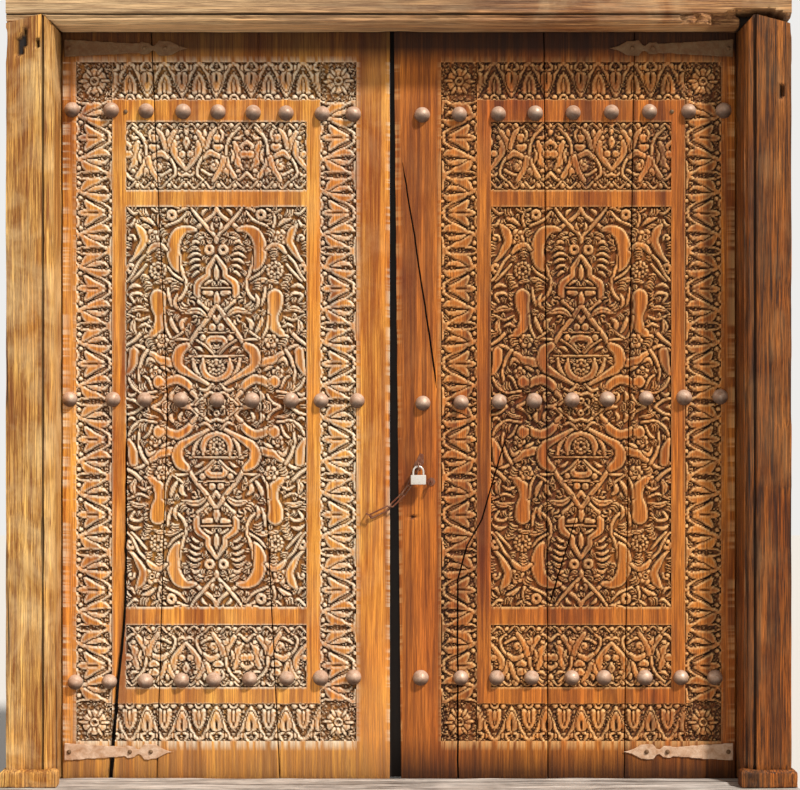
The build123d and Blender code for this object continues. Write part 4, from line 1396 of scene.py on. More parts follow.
        # Back face and the four edges
        start = rows * cols
        rear = np.concatenate([np.stack([low, np.full(rows, back), z], -1),
                               np.stack([high, np.full(rows, back), z], -1)])
        left, right = start, start + rows
        for r in range(rows - 1):
            faces.append((left + r, left + r + 1, right + r + 1, right + r))
            faces.append((number[r, 0], number[r + 1, 0], left + r + 1, left + r))
            faces.append((number[r, -1], right + r, right + r + 1, number[r + 1, -1]))
        foot = list(dict.fromkeys(number[0].tolist()))
        head = list(dict.fromkeys(number[-1].tolist()))
        faces.append(tuple(foot[::-1] + [left, right]))
        faces.append(tuple(head + [right + rows - 1, left + rows - 1]))
        # Back and sides of the front layer, seen through the gaps between planks, painted near black: painted
        # shade
        rear_shade_marks = np.tile((0.0, 0.0, 0.95), (2 * rows, 1))
        # Places that no face uses are left out
        used = np.zeros(start + 2 * rows, bool)
        used[[corner for face in faces for corner in face]] = True
        renumber = np.cumsum(used) - 1
        shells.add(np.vstack([points, rear])[used], [[int(renumber[i]) for i in face] for face in faces],
                   np.vstack([marks.reshape(-1, 3), rear_shade_marks])[used])

    def layer(self, shells: Shells, low: Sequence[float], high: Sequence[float], front: float, back: float,
              crack: float = 0.0) -> None:
        """Add one plain layer of a plank, each edge given at foot, middle and head; a crack mark paints its
        front dark, as painted shade in the gaps.
        """
        heights = (LEAF_FOOT, (LEAF_FOOT + LEAF_HEAD) / 2, LEAF_HEAD)
        outline = [*zip(low, heights), *reversed(list(zip(high, heights)))]
        shells.prism(outline, front, back, crack)

    def build(self, material: bpy.types.Material) -> None:
        """Make the three planks.

        Args:
            material: Their finish.
        """
        z = self.rows()
        half = self.gap / 2
        first, second = self.joints
        tight = np.clip((z - self.tight_above) / 0.15, 0, 1) * (half - self.tight_gap)
        name = self.side.label
        flip = self.side is Side.LEFT
        straight = (LEAF_SIDE,) * 3

        # The laps' fronts, seen through the gaps, are painted dark by joint_shade and meeting_shade: painted
        # shade
        hinge = Shells()
        self.front(hinge, self.edge(first, z, half), np.full_like(z, LEAF_SIDE), z, LAYER_BACK)
        lap = [spot - self.lap for spot in first]
        self.layer(hinge, lap, (AXIS_X,) * 3, LAYER_BACK, LEAF_BACK, self.joint_shade)
        self.layer(hinge, straight, (AXIS_X,) * 3, STILE_FRONT, LAYER_BACK)
        hinge.post(AXIS_X, AXIS_Y, self.stile_radius, LEAF_FOOT, LEAF_HEAD)
        hinge.post(AXIS_X, AXIS_Y, self.pivot_radius, LEAF_FOOT - self.pivot_length,
                   LEAF_HEAD + self.pivot_length)
        middle = Shells()
        self.front(middle, self.edge(second, z, half) - tight, self.edge(first, z, -half), z, LAYER_BACK)
        inner_lap = [spot - self.lap for spot in second]
        self.layer(middle, inner_lap, [spot - self.clearance for spot in lap], LAYER_BACK, LEAF_BACK,
                   self.joint_shade)
        meeting = Shells()
        self.front(meeting, self.edge(self.meeting_front, z, 0.0), self.edge(second, z, -half) + tight, z,
                   LAYER_BACK)
        self.layer(meeting, (self.meeting_back,) * 3, [spot - self.clearance for spot in inner_lap],
                   LAYER_BACK, LEAF_BACK, self.meeting_shade)
        for shells, part in ((hinge, "hinge_plank"), (middle, "middle_plank"), (meeting, "meeting_plank")):
            piece = shells.piece(f"{name}_{part}_carved", flip, 48.0)
            install(piece, self.side.body, material, [f"{name}_{part}"])


# Frame

def jamb_top(x: np.ndarray) -> np.ndarray:
    """Height of the scribed joint between jamb and lintel at a distance from the middle."""
    return np.interp(np.abs(x), (HALF_OPENING, 0.962, HALF_FRAME), (SOFFIT, 2.182, 2.156))


def dense(outline: Sequence[Point], step: float, soften: float = 0.0012) -> np.ndarray:
    """A closed outline with its corners eased and its sides divided.

    Args:
        outline: Corners.
        step: Greatest length of a side.
        soften: How far a corner is cut back.

    Returns:
        Points, one in each row.
    """
    corners = [np.array(corner, float) for corner in outline]
    eased = []
    for i, corner in enumerate(corners):
        for other in (corners[i - 1], corners[(i + 1) % len(corners)]):
            run = other - corner
            length = np.linalg.norm(run)
            eased.append(corner + run / length * min(soften, length * 0.3))
    points = []
    for i, start in enumerate(eased):
        end = eased[(i + 1) % len(eased)]
        count = max(1, int(np.ceil(np.linalg.norm(end - start) / step)))
        points += [start + (end - start) * k / count for k in range(count)]
    return np.array(points)


@dataclass
class Timber:
    """A timber made by carrying a section along it, whose points can still be moved.

    Its points, and the marks at each of them, are kept as rings by places round the section.
    """

    section: np.ndarray
    places: np.ndarray
    upright: bool = False

    def __post_init__(self) -> None:
        """Carry the section, X and Y for an upright timber and Y and Z for a level one."""
        rings, size = len(self.places), len(self.section)
        self.points = np.zeros((rings, size, 3))
        across, along = ((0, 1), 2) if self.upright else ((1, 2), 0)
        self.points[:, :, across] = self.section[None]
        self.points[:, :, along] = self.places[:, None]
        self.marks = np.zeros((rings, size, 3))
        self.faces: list[tuple[int, ...]] = [tuple(range(size - 1, -1, -1)),
                                             tuple(range((rings - 1) * size, rings * size))]
        for start in range(0, (rings - 1) * size, size):
            for i in range(size):
                j = (i + 1) % size
                self.faces.append((start + i, start + j, start + size + j, start + size + i))

    @property
    def axes(self) -> tuple[np.ndarray, np.ndarray, np.ndarray]:
        """Views of the X, Y and Z of all the points."""
        return self.points[..., 0], self.points[..., 1], self.points[..., 2]

    @property
    def around(self) -> np.ndarray:
        """Way round the section up to each point."""
        sides = np.linalg.norm(np.diff(self.section, axis=0, prepend=self.section[:1]), axis=1)
        return np.repeat(np.cumsum(sides)[None], len(self.places), 0)

    @property
    def outward(self) -> np.ndarray:
        """Outward direction in the section at each of its points, shaped to act on all the rings."""
        ahead = np.roll(self.section, -1, 0) - np.roll(self.section, 1, 0)
        normal = np.stack([ahead[:, 1], -ahead[:, 0]], -1)
        normal /= np.linalg.norm(normal, axis=1)[:, None] + 1e-12
        turned = np.roll(self.section, -1, 0)
        area = np.sum(self.section[:, 0] * turned[:, 1] - turned[:, 0] * self.section[:, 1])
        return (normal if area > 0 else -normal)[None]

    def piece(self, name: str, flip: bool = False, smooth: float = 50.0,
              boxes: Sequence[tuple[Sequence[float], Sequence[float]]] = ()) -> bpy.types.Object:
        """Make the object.

        Args:
            name: Its name.
            flip: Whether to mirror it to the other side of the doorway.
            smooth: Angle in degrees under which faces are shaded as one.
            boxes: Low and high corners of the tenons that are added to it.

        Returns:
            The object.
        """
        shells = Shells()
        shells.add(self.points.reshape(-1, 3), self.faces, self.marks.reshape(-1, 3))
        for low, high in boxes:
            shells.box(low, high)
        return shells.piece(name, flip, smooth)


@dataclass
class DoorFrame:
    """Jambs, lintel and sill, weathered, with the rotted corner of the lintel."""

    bead: float = 0.009
    bead_step: float = 0.007
    quirk: float = 0.009
    quirk_lip: float = 0.003
    groove_half: float = 0.004
    groove_slack: float = 0.003
    rebate: float = 0.031
    jamb_lip_back: float = 0.022
    lip_back: float = 0.004
    lintel_rebate: float = 0.022
    sill_rebate: float = 0.012
    half_sill: float = 1.077
    half_sill_depth: float = 0.145
    tenon_half_width: float = 0.023
    tenon_half_depth: float = 0.035
    tenon_length: float = 0.04
    tenon_root: float = 0.01
    joint_gap: float = 0.0006
    roughness: float = 0.0011
    sill_roughness: float = 0.0014
    tread_depth: float = 0.004
    eaten_from: float = 2.0
    hole_depth: float = 0.014
    broken_from: float = 0.765
    rot_from: float = 0.835
    hollow_from: float = 0.922
    notch_from: float = 1.046
    notch_top: float = 2.186
    rot_depth: float = 0.026
    hollow_depth: float = 0.07
    crest: tuple[Point, ...] = ((0.828, 2.150), (0.850, 2.178), (0.881, 2.187), (0.940, 2.195),
                                (1.002, 2.197), (1.043, 2.184), (1.070, 2.168))
    rot_holes: tuple[tuple[str, float, float, float, float, float], ...] = ()

    def jamb(self, side: Side, material: bpy.types.Material) -> None:
        """Make one jamb.

        Args:
            side: Which one.
            material: Its finish.
        """
        step, x0, front = self.bead, HALF_OPENING, FRAME_FRONT
        outline = [(x0, self.jamb_lip_back), (x0, front + 2 * self.bead_step),
                   (x0 + step, front + 2 * self.bead_step), (x0 + step, front + self.bead_step),
                   (x0 + 2.6 * step, front + self.quirk_lip), (x0 + 2.9 * step, front + self.quirk),
                   (x0 + 3.1 * step, front + self.quirk), (x0 + 3.4 * step, front),
                   (HALF_FRAME, front), (HALF_FRAME, FRAME_BACK), (x0 + self.rebate, FRAME_BACK),
                   (x0 + self.rebate, self.jamb_lip_back)]
        rows = (spaced(SILL_HEIGHT, 1.98, 0.0125), spaced(1.98, SOFFIT, 0.0035), [SOFFIT])
        timber = Timber(dense(outline, 0.0085), np.concatenate(rows), True)
        x, y, z = timber.axes
        z[:] = SILL_HEIGHT + (z - SILL_HEIGHT) / (SOFFIT - SILL_HEIGHT) * (jamb_top(x) - SILL_HEIGHT)
        seed = 31 if side is Side.LEFT else 37
        around = timber.around
        relief = self.roughness * (grain_height(around, z, seed) - 0.55)
        relief -= 0.004 * np.clip(ripple(around, z, 0.11, seed + 3) - 0.35, 0, 1)
        facing = y < front + 0.012
        ragged = 0.25 * ripple(x, z, 0.012, seed + 4)
        crack = np.zeros_like(x)
        for which, hole_x, hole_z, half_width, half_height, lean in self.rot_holes:
            if which == side.name:
                across = (x - hole_x - lean * (z - hole_z)) / half_width
                reach = np.hypot(across, (z - hole_z) / half_height) + ragged
                crack = np.maximum(crack, np.clip((1.2 - reach) / 0.4, 0, 1) * facing)
        groove = facing * (y > front + self.quirk - self.groove_slack)
        groove = groove * (np.abs(x - x0 - 3 * step) < self.groove_half)
        eaten = 0.006 * np.clip((z - self.eaten_from) / 0.12, 0, 1)
        eaten *= np.clip(ripple(y, z, 0.03, seed + 6), 0, 1)
        normal = timber.outward
        x += normal[..., 0] * relief - eaten * (x > HALF_FRAME - 0.002)
        y += normal[..., 1] * relief + self.hole_depth * crack
        timber.marks[..., 1] = np.clip(relief / self.roughness + 0.4, 0, 1) * 0.5
        # Rot holes and the groove of the moulding are painted near black: painted shade in them
        timber.marks[..., 2] = np.maximum(crack, 0.85 * groove)
        middle = HALF_FRAME - (HALF_FRAME - HALF_OPENING) / 2 + self.rebate / 2
        wide, deep, root = self.tenon_half_width, self.tenon_half_depth, self.tenon_root
        tenons = [((middle - wide, -deep, low), (middle + wide, deep, high))
                  for low, high in ((SILL_HEIGHT - self.tenon_length, SILL_HEIGHT + root),
                                    (SOFFIT - root, SOFFIT + self.tenon_length))]
        name = f"jamb_{side.label}"
        piece = timber.piece(f"{name}_weathered", side is Side.LEFT, boxes=tenons)
        install(piece, "frame", material, [name])

    def lintel(self, material: bpy.types.Material) -> None:
        """Make the lintel with its rotted corner."""
        step, front, bead_front = self.bead, FRAME_FRONT, FRAME_FRONT + self.bead_step
        shelf = SOFFIT + self.lintel_rebate
        outline = [(front + 2 * self.bead_step, SOFFIT), (self.lip_back, SOFFIT), (self.lip_back, shelf),
                   (FRAME_BACK, shelf), (FRAME_BACK, LINTEL_TOP), (front, LINTEL_TOP),
                   (front, SOFFIT + 3.3 * step), (front + self.quirk, SOFFIT + 3.1 * step),
                   (front + self.quirk, SOFFIT + 2.9 * step), (front + self.quirk_lip, SOFFIT + 2.6 * step),
                   (bead_front, SOFFIT + 2 * step), (bead_front, SOFFIT + step),
                   (front + 2 * self.bead_step, SOFFIT + step)]
        places = (spaced(-HALF_FRAME, 0.74, 0.019), spaced(0.74, HALF_FRAME, 0.0047), [HALF_FRAME])
        timber = Timber(dense(outline, 0.0062), np.concatenate(places))
        x, y, z = timber.axes
        floor = jamb_top(x) + self.joint_gap
        lifted = np.where(z < floor, floor, z)
        seat = np.where(y > self.lip_back, np.maximum(lifted, shelf), lifted)
        z[:] = np.where(np.abs(x) > HALF_OPENING, seat, z)
        around = timber.around
        relief = self.roughness * (grain_height(around, x, 41) - 0.55)
        relief -= 0.005 * np.clip(ripple(around, x, 0.14, 44) - 0.3, 0, 1)
        normal = timber.outward
        y += normal[..., 0] * relief
        z += np.where(z < LINTEL_TOP - 0.002, normal[..., 1] * np.minimum(relief, 0.0), 0.0)
        facing = y < -0.08
        groove = facing * (y > front + self.quirk - self.groove_slack)
        groove = groove * (np.abs(z - SOFFIT - 3 * step) < self.groove_half)
        # Rot: the moulding is gone, then a fibrous bed, then a hollow over the jamb
        ragged = 0.005 * ripple(x, z, 0.021, 47) + 0.003 * ripple(x, z, 0.008, 48)
        level = np.interp(x, [spot[0] for spot in self.crest], [spot[1] for spot in self.crest])
        below = np.clip((level + ragged * 0.6 - z) / 0.005, 0, 1) * (y < 0.0)
        broken = np.clip((x - self.broken_from + ragged) / 0.006, 0, 1)
        broken = broken * (z < SOFFIT + 3.2 * step) * facing
        y += broken * (front + 0.009 + 2.0 * ragged - y)
        fibrous = 0.009 * grain_height(z, x, 49) + 0.005 * ripple(x, z, 0.016, 50)
        rotten = np.clip((x - self.rot_from + 3 * ragged) / 0.010, 0, 1) * below
        y += rotten * np.clip(front + self.rot_depth + fibrous - y, 0, 0.05)
        hollow = np.clip((x - self.hollow_from + 2 * ragged) / 0.008, 0, 1) * below
        y += hollow * np.clip(front + self.hollow_depth - y, 0, 0.08)
        notch = np.clip((x - self.notch_from + ragged) / 0.005, 0, 1)
        notch = notch * np.clip((self.notch_top + ragged - z) / 0.006, 0, 1)
        y += notch * (y < 0.0) * 0.012
        # The rotten bed is darkened, as rot and painted shade; the hollow and the moulding's groove are
        # painted near black, as painted shade
        timber.marks[..., 0] = 0.45 * np.maximum(rotten, broken * 0.3)
        timber.marks[..., 1] = np.clip(relief / self.roughness + 0.4, 0, 1) * 0.5 * (1 - rotten)
        timber.marks[..., 2] = np.maximum(hollow * 0.95, 0.8 * groove * (1 - broken))
        install(timber.piece("lintel_weathered"), "frame", material, ["lintel"])

    def sill(self, material: bpy.types.Material) -> None:
        """Make the bleached sill, its top hollowed a little by feet."""
        deep, shelf = self.half_sill_depth, SILL_HEIGHT - self.sill_rebate
        outline = [(-deep, 0.0), (deep, 0.0), (deep, shelf), (self.lip_back, shelf),
                   (self.lip_back, SILL_HEIGHT), (-deep, SILL_HEIGHT)]
        timber = Timber(dense(outline, 0.011, 0.004), np.linspace(-self.half_sill, self.half_sill, 160))
        x, y, z = timber.axes
        relief = self.sill_roughness * (grain_height(timber.around, x, 51) - 0.6)
        worn = self.tread_depth * np.exp(-(x / 0.45) ** 2) * np.clip((-0.02 - y) / 0.08, 0, 1)
        worn = worn * (z > SILL_HEIGHT - 0.006)
        normal = timber.outward
        inner = z > 0.004
        y += normal[..., 0] * relief * inner
        z += normal[..., 1] * relief * inner - worn
        timber.marks[..., 1] = np.clip(relief / self.sill_roughness + 0.5, 0, 1) * 0.6
        install(timber.piece("sill_weathered"), "frame", material, ["sill"])


@dataclass
class Battens:
    """Sawn battens across the back of each leaf."""

    material: bpy.types.Material
    inner: float = 0.036
    outer: float = 0.864
    depth: float = 0.040
    half: float = 0.055
    roughness: float = 0.0008
    rows: tuple[tuple[str, float], ...] = (("foot", 0.363), ("middle", 1.139), ("head", 1.937))

    def build(self, side: Side) -> None:
        """Make a leaf's three battens."""
        for name, z in self.rows:
            outline = [(LEAF_BACK, z - self.half), (LEAF_BACK + self.depth, z - self.half),
                       (LEAF_BACK + self.depth, z + self.half), (LEAF_BACK, z + self.half)]
            timber = Timber(dense(outline, 0.008, 0.003), np.linspace(self.inner, self.outer, 56))
            x, y, _ = timber.axes
            relief = self.roughness * (grain_height(timber.around, x, 61) - 0.8)
            y += timber.outward[..., 0] * relief * (y > LEAF_BACK + 0.004)
            node = f"{side.label}_batten_{name}"
            piece = timber.piece(node + "_sawn", side is Side.LEFT, 45.0)
            install(piece, side.body, self.material, [node])


# Ironwork

def nail_tree(name: str, material: bpy.types.Material) -> bpy.types.NodeTree:
    """Geometry node tree that puts a forged nail head on every vertex of a mesh.

    Args:
        name: Name of the tree.
        material: Finish of the heads.

    Returns:
        The tree, with inputs for radius, rise, point, unevenness, sides, rings and seed.
    """
    tree = bpy.data.node_groups.new(name, "GeometryNodeTree")
    face = tree.interface
    face.new_socket("Geometry", in_out="INPUT", socket_type="NodeSocketGeometry")
    for label, value in (("Radius", 0.0225), ("Rise", 0.015), ("Point", 0.25), ("Uneven", 0.0008)):
        face.new_socket(label, in_out="INPUT", socket_type="NodeSocketFloat").default_value = value
    for label, number in (("Sides", 20), ("Rings", 10), ("Seed", 3)):
        face.new_socket(label, in_out="INPUT", socket_type="NodeSocketInt").default_value = number
    face.new_socket("Geometry", in_out="OUTPUT", socket_type="NodeSocketGeometry")
    n = Nodes(tree)
    given = {s.name: s for s in n.add("NodeGroupInput").outputs if s.name}
    # Head: a ball, drawn to a slight point, flat behind, and sized
    head = n.add("GeometryNodeMeshUVSphere",
                 {"Segments": given["Sides"], "Rings": given["Rings"], "Radius": 1.0})
    place = n.add("ShaderNodeSeparateXYZ", {0: n.add("GeometryNodeInputPosition").outputs[0]}).outputs
    sharp = n.sum("POWER", n.sum("MAXIMUM", place[2], 0.0, False), 3.0, False)
    tall = n.sum("ADD", place[2], n.sum("MULTIPLY", sharp, given["Point"], False), False)
    high = n.sum("MULTIPLY", n.sum("MAXIMUM", tall, -0.12, False), given["Rise"], False)
    wide_x = n.sum("MULTIPLY", place[0], given["Radius"], False)
    wide_y = n.sum("MULTIPLY", place[1], given["Radius"], False)
    spot = n.add("ShaderNodeCombineXYZ", {0: wide_x, 1: wide_y, 2: high}).outputs[0]
    shaped = n.add("GeometryNodeSetPosition", {"Geometry": head.outputs["Mesh"], "Position": spot})
    # Each head leans, turns and differs a little
    lean = 0.06
    aim = n.add("FunctionNodeRandomValue", {0: (math.pi / 2 - lean, -lean, -math.pi),
                                            1: (math.pi / 2 + lean, lean, math.pi), "Seed": given["Seed"]},
                data_type="FLOAT_VECTOR")
    size = n.add("FunctionNodeRandomValue", {2: 0.93, 3: 1.0, "Seed": given["Seed"]}, data_type="FLOAT")
    spin = n.add("ShaderNodeSeparateXYZ", {0: aim.outputs[0]}).outputs
    tip = n.add("ShaderNodeCombineXYZ", {0: spin[0], 1: spin[1], 2: 0.0})
    heads = n.add("GeometryNodeInstanceOnPoints",
                  {"Points": given["Geometry"], "Instance": shaped.outputs[0], "Rotation": tip.outputs[0],
                   "Scale": size.outputs[1]})
    own = n.add("ShaderNodeCombineXYZ", {0: 0.0, 1: 0.0, 2: spin[2]})
    turned = n.add("GeometryNodeRotateInstances",
                   {"Instances": heads.outputs[0], "Rotation": own.outputs[0]})
    real = n.add("GeometryNodeRealizeInstances", {"Geometry": turned.outputs[0]})
    dent = n.add("ShaderNodeTexNoise", {"Scale": 130.0, "Detail": 1.0})
    shift = n.add("ShaderNodeVectorMath", {0: dent.outputs["Color"], 1: (0.5, 0.5, 0.5)},
                  operation="SUBTRACT")
    amount = n.add("ShaderNodeVectorMath", {0: shift.outputs[0], "Scale": given["Uneven"]},
                   operation="SCALE")
    dented = n.add("GeometryNodeSetPosition", {"Geometry": real.outputs[0], "Offset": amount.outputs[0]})
    smooth = n.add("GeometryNodeSetShadeSmooth", {"Geometry": dented.outputs[0]})
    painted = n.add("GeometryNodeSetMaterial", {"Geometry": smooth.outputs[0], "Material": material})
    n.add("NodeGroupOutput", {"Geometry": painted.outputs[0]})
    return tree


def merged_copy(source: bpy.types.Object, flat: bool = False) -> bpy.types.Object:
    """Copy of a node of the model with its loose triangles joined, ready for modifiers.

    Args:
        source: The node's object, which is left as it is.
        flat: Whether triangles of one flat face are joined too.

    Returns:
        The copy.
    """
    mesh = source.data.copy()
    work = bmesh.new()
    work.from_mesh(mesh)
    bmesh.ops.remove_doubles(work, verts=work.verts, dist=1e-6)
    if flat:
        bmesh.ops.dissolve_limit(work, angle_limit=0.02, verts=work.verts, edges=work.edges)
    work.to_mesh(mesh)
    work.free()
    return placed(source.name + "_rough", mesh)


def taken(carrier: bpy.types.Object) -> tuple[np.ndarray, np.ndarray, list[tuple[int, ...]]]:
    """Points, normals and faces of an object with its modifiers applied, which is then removed."""
    done = carrier.evaluated_get(bpy.context.evaluated_depsgraph_get())
    made = bpy.data.meshes.new_from_object(done)
    bpy.data.objects.remove(carrier)
    points, normals = np.empty(len(made.vertices) * 3), np.empty(len(made.vertices) * 3)
    made.vertices.foreach_get("co", points)
    made.vertices.foreach_get("normal", normals)
    faces = [tuple(face.vertices) for face in made.polygons]
    bpy.data.meshes.remove(made)
    return points.reshape(-1, 3), normals.reshape(-1, 3), faces


@dataclass(frozen=True)
class Refined:
    """How a small piece of the model is given its soft, hand-made surface."""

    voxel: float
    rounds: int
    dent: float
    dent_size: float
    slot: str
    body: str

    def make(self, source: bpy.types.Object, material: bpy.types.Material, seed: int) -> bpy.types.Object:
        """Copy a node of the model, round its edges and dent its faces.

        Args:
            source: The node's object, which is left as it is.
            material: Its finish.
            seed: Which dents.

        Returns:
            The new piece, standing for the node.
        """
        rough = merged_copy(source)
        grid = rough.modifiers.new("Grid", "REMESH")
        grid.mode = "VOXEL"
        grid.voxel_size = self.voxel
        ease = rough.modifiers.new("Ease", "SMOOTH")
        ease.factor = 0.5
        ease.iterations = self.rounds
        points, normals, faces = taken(rough)
        x, y, z = points.T
        push = ripple(x + y * 0.7, z - y * 0.4, self.dent_size, seed)
        push += 0.5 * ripple(x - y, z + y * 0.9, self.dent_size * 0.4, seed + 1)
        dented = points + normals * (self.dent * (push - 0.4))[:, None]
        shells = Shells()
        shells.add(np.maximum(dented, points.min(0)), faces)
        piece = shells.piece(source.name + "_forged", False, 55.0)
        return install(piece, self.body, material, [source.name])


@dataclass
class Nails:
    """Forged nails of one kind on a leaf: heads from a node tree, with square shanks behind them."""

    tree: bpy.types.NodeTree
    material: bpy.types.Material

    def drive(self, side: Side, kind: str, spots: Sequence[tuple[float, float, float]],
              tails: Sequence[float], shank: float, settings: dict[str, float | int], under: float) -> None:
        """Make the nails and put them on their leaf.

        Args:
            side: The leaf.
            kind: End of the node's name.
            spots: Middle of each head where it meets the wood.
            tails: Depth that each shank reaches.
            shank: Half the side of a shank.
            settings: Values of the tree's inputs by name.
            under: How much darker a head is painted underneath, as painted shade.
        """
        name = f"{side.label}_{kind}"
        seed_mesh = bpy.data.meshes.new(name + "_spots")
        seed_mesh.from_pydata([tuple(spot) for spot in spots], [], [])
        carrier = placed(name + "_spots", seed_mesh)
        modifier = carrier.modifiers.new("Nails", "NODES")
        modifier.node_group = self.tree
        for item in self.tree.interface.items_tree:
            if item.item_type == "SOCKET" and item.in_out == "INPUT" and item.name in settings:
                modifier[item.identifier] = settings[item.name]
        points, normals, faces = taken(carrier)
        marks = np.zeros((len(points), 3))
        # Painted shade under each head, kept in the sunk mark
        marks[:, 0] = under * np.clip(0.3 - 1.3 * normals[:, 2], 0, 1)
        shells = Shells()
        shells.add(points, faces, marks)
        for (u, front, z), tail in zip(spots, tails):
            shells.box((u - shank, front, z - shank), (u + shank, tail, z + shank))
        piece = shells.piece(f"{name}_forged", side is Side.LEFT, 50.0)
        install(piece, side.body, self.material, [name])


@dataclass
class Bosses(Nails):
    """Rows of forged nails through planks and battens."""

    radius: float = 0.0222
    rise: float = 0.0178
    shank: float = 0.004
    tail: float = 0.111
    edge_tail: float = 0.058
    batten_end: float = 0.87

    def build(self, side: Side, rows: Sequence[tuple[Sequence[float], float, float]], seed: int) -> None:
        """Make a leaf's bosses.

        Args:
            side: The leaf.
            rows: For each row the distances from the middle of the doorway, and the height of its first
                and of its last boss.
            seed: Which unevenness.
        """
        spots = [(u, LEAF_FRONT, z) for places, first, last in rows
                 for u, z in zip(places, np.linspace(first, last, len(places)))]
        tails = [self.edge_tail if u > self.batten_end else self.tail for u, _, _ in spots]
        self.drive(side, "bosses", spots, tails, self.shank,
                   {"Radius": self.radius, "Rise": self.rise, "Seed": seed}, 1.0)


@dataclass
class StrapNails(Nails):
    """Small nails of the straps, and the old nail head in the top row of bosses."""

    face: float = 0.006
    shank: float = 0.002
    reach: float = 0.034
    radius: float = 0.0066
    rise: float = 0.0042
    unevenness: float = 0.0006
    strap_spots: tuple[Point, ...] = ((0.9116, 2.112), (0.7034, 2.112), (0.6458, 2.112),
                                      (0.9116, 0.166), (0.7434, 0.166), (0.6858, 0.166))
    old_spot: Point = (0.756, 1.937)

    def build(self, side: Side, seed: int) -> None:
        """Make a leaf's nails."""
        spots = [(u, self.face, z) for u, z in self.strap_spots]
        spots.append((self.old_spot[0], LEAF_FRONT, self.old_spot[1]))
        self.drive(side, "strap_nails", spots, [front + self.reach for _, front, _ in spots], self.shank,
                   {"Radius": self.radius, "Rise": self.rise, "Sides": 10, "Rings": 8, "Seed": seed,
                    "Uneven": self.unevenness}, 0.0)


@dataclass
class Padlock:
    """The bright padlock, whose case is given rounded edges."""

    bevel: float = 0.00044

    def case(self, source: bpy.types.Object, material: bpy.types.Material) -> None:
        """Make the case with rounded edges.

        Args:
            source: The model's own case.
            material: Its finish.
        """
        rough = merged_copy(source, True)
        rounding = rough.modifiers.new("Rounding", "BEVEL")
        rounding.width = self.bevel
        rounding.segments = 2
        rounding.limit_method = "ANGLE"
        rounding.angle_limit = math.radians(25)
        points, _, faces = taken(rough)
        shells = Shells()
        shells.add(points, faces)
        piece = shells.piece("padlock_case_rounded", False, 30.0)
        install(piece, "padlock_case", material, ["padlock_body"])


# Room, light and camera

@dataclass
class Studio:
    """Pale floor, soft light and the photograph's view."""

    distance: float = 4.4
    eye_height: float = 1.139
    lens: float = 71.7
    drop: float = 0.00625
    aside: float = 0.0016
    sun: float = 4.4
    sky: float = 0.36
    travel: tuple[float, float, float] = (-0.46, 0.47, -0.76)
    floor_reach: float = 9.0

    def build(self) -> None:
        """Make the floor, the light and the camera."""
        self.floor()
        self.light()
        self.camera()
        bpy.context.scene.view_settings.view_transform = "Standard"

    def floor(self) -> None:
        """Make the pale floor."""
        mesh = bpy.data.meshes.new("floor")
        reach = self.floor_reach
        mesh.from_pydata([(-reach, -reach, 0), (reach, -reach, 0), (reach, reach, 0), (-reach, reach, 0)],
                         [], [(0, 1, 2, 3)])
        pale = bpy.data.materials.new("pale_floor")
        pale.use_nodes = True
        shader = pale.node_tree.nodes["Principled BSDF"]
        shader.inputs["Base Color"].default_value = (0.62, 0.60, 0.57, 1.0)
        shader.inputs["Roughness"].default_value = 0.9
        mesh.materials.append(pale)
        floor = placed("floor", mesh)

    def light(self) -> None:
        """Make the sun and the pale room round the door."""
        lamp = bpy.data.lights.new("sun", "SUN")
        lamp.energy = self.sun
        lamp.angle = math.radians(5)
        lamp.color = (1.0, 0.955, 0.89)
        placed("sun", lamp).rotation_euler = Vector(self.travel).to_track_quat("-Z", "Y").to_euler()
        world = bpy.data.worlds.new("pale_room")
        world.use_nodes = True
        world.node_tree.nodes.clear()
        n = Nodes(world.node_tree)
        dim = n.add("ShaderNodeBackground", {"Color": (1.0, 0.97, 0.92, 1.0), "Strength": self.sky})
        seen = n.add("ShaderNodeBackground", {"Color": (0.86, 0.85, 0.83, 1.0), "Strength": 1.0})
        ray = n.add("ShaderNodeLightPath").outputs
        either = n.sum("MAXIMUM", ray["Is Camera Ray"], ray["Is Glossy Ray"], False)
        mixed = n.add("ShaderNodeMixShader", {0: either, 1: dim.outputs[0], 2: seen.outputs[0]})
        n.add("ShaderNodeOutputWorld", {"Surface": mixed.outputs[0]})
        bpy.context.scene.world = world

    def camera(self) -> None:
        """Make the camera that sees the door as the photograph does."""
        lens = bpy.data.cameras.new("view")
        lens.lens = self.lens
        lens.sensor_width = 36.0
        lens.shift_x = self.aside
        lens.shift_y = self.drop
        view = placed("view", lens)
        view.location = (0.0, -self.distance, self.eye_height)
        view.rotation_euler = (math.pi / 2, 0.0, 0.0)
        bpy.context.scene.camera = view


def paint(red: float, green: float, blue: float) -> Colour:
    """Linear colour of a shade given in steps of 255."""
    return tuple(((value / 255 + 0.055) / 1.055) ** 2.4 for value in (red, green, blue))


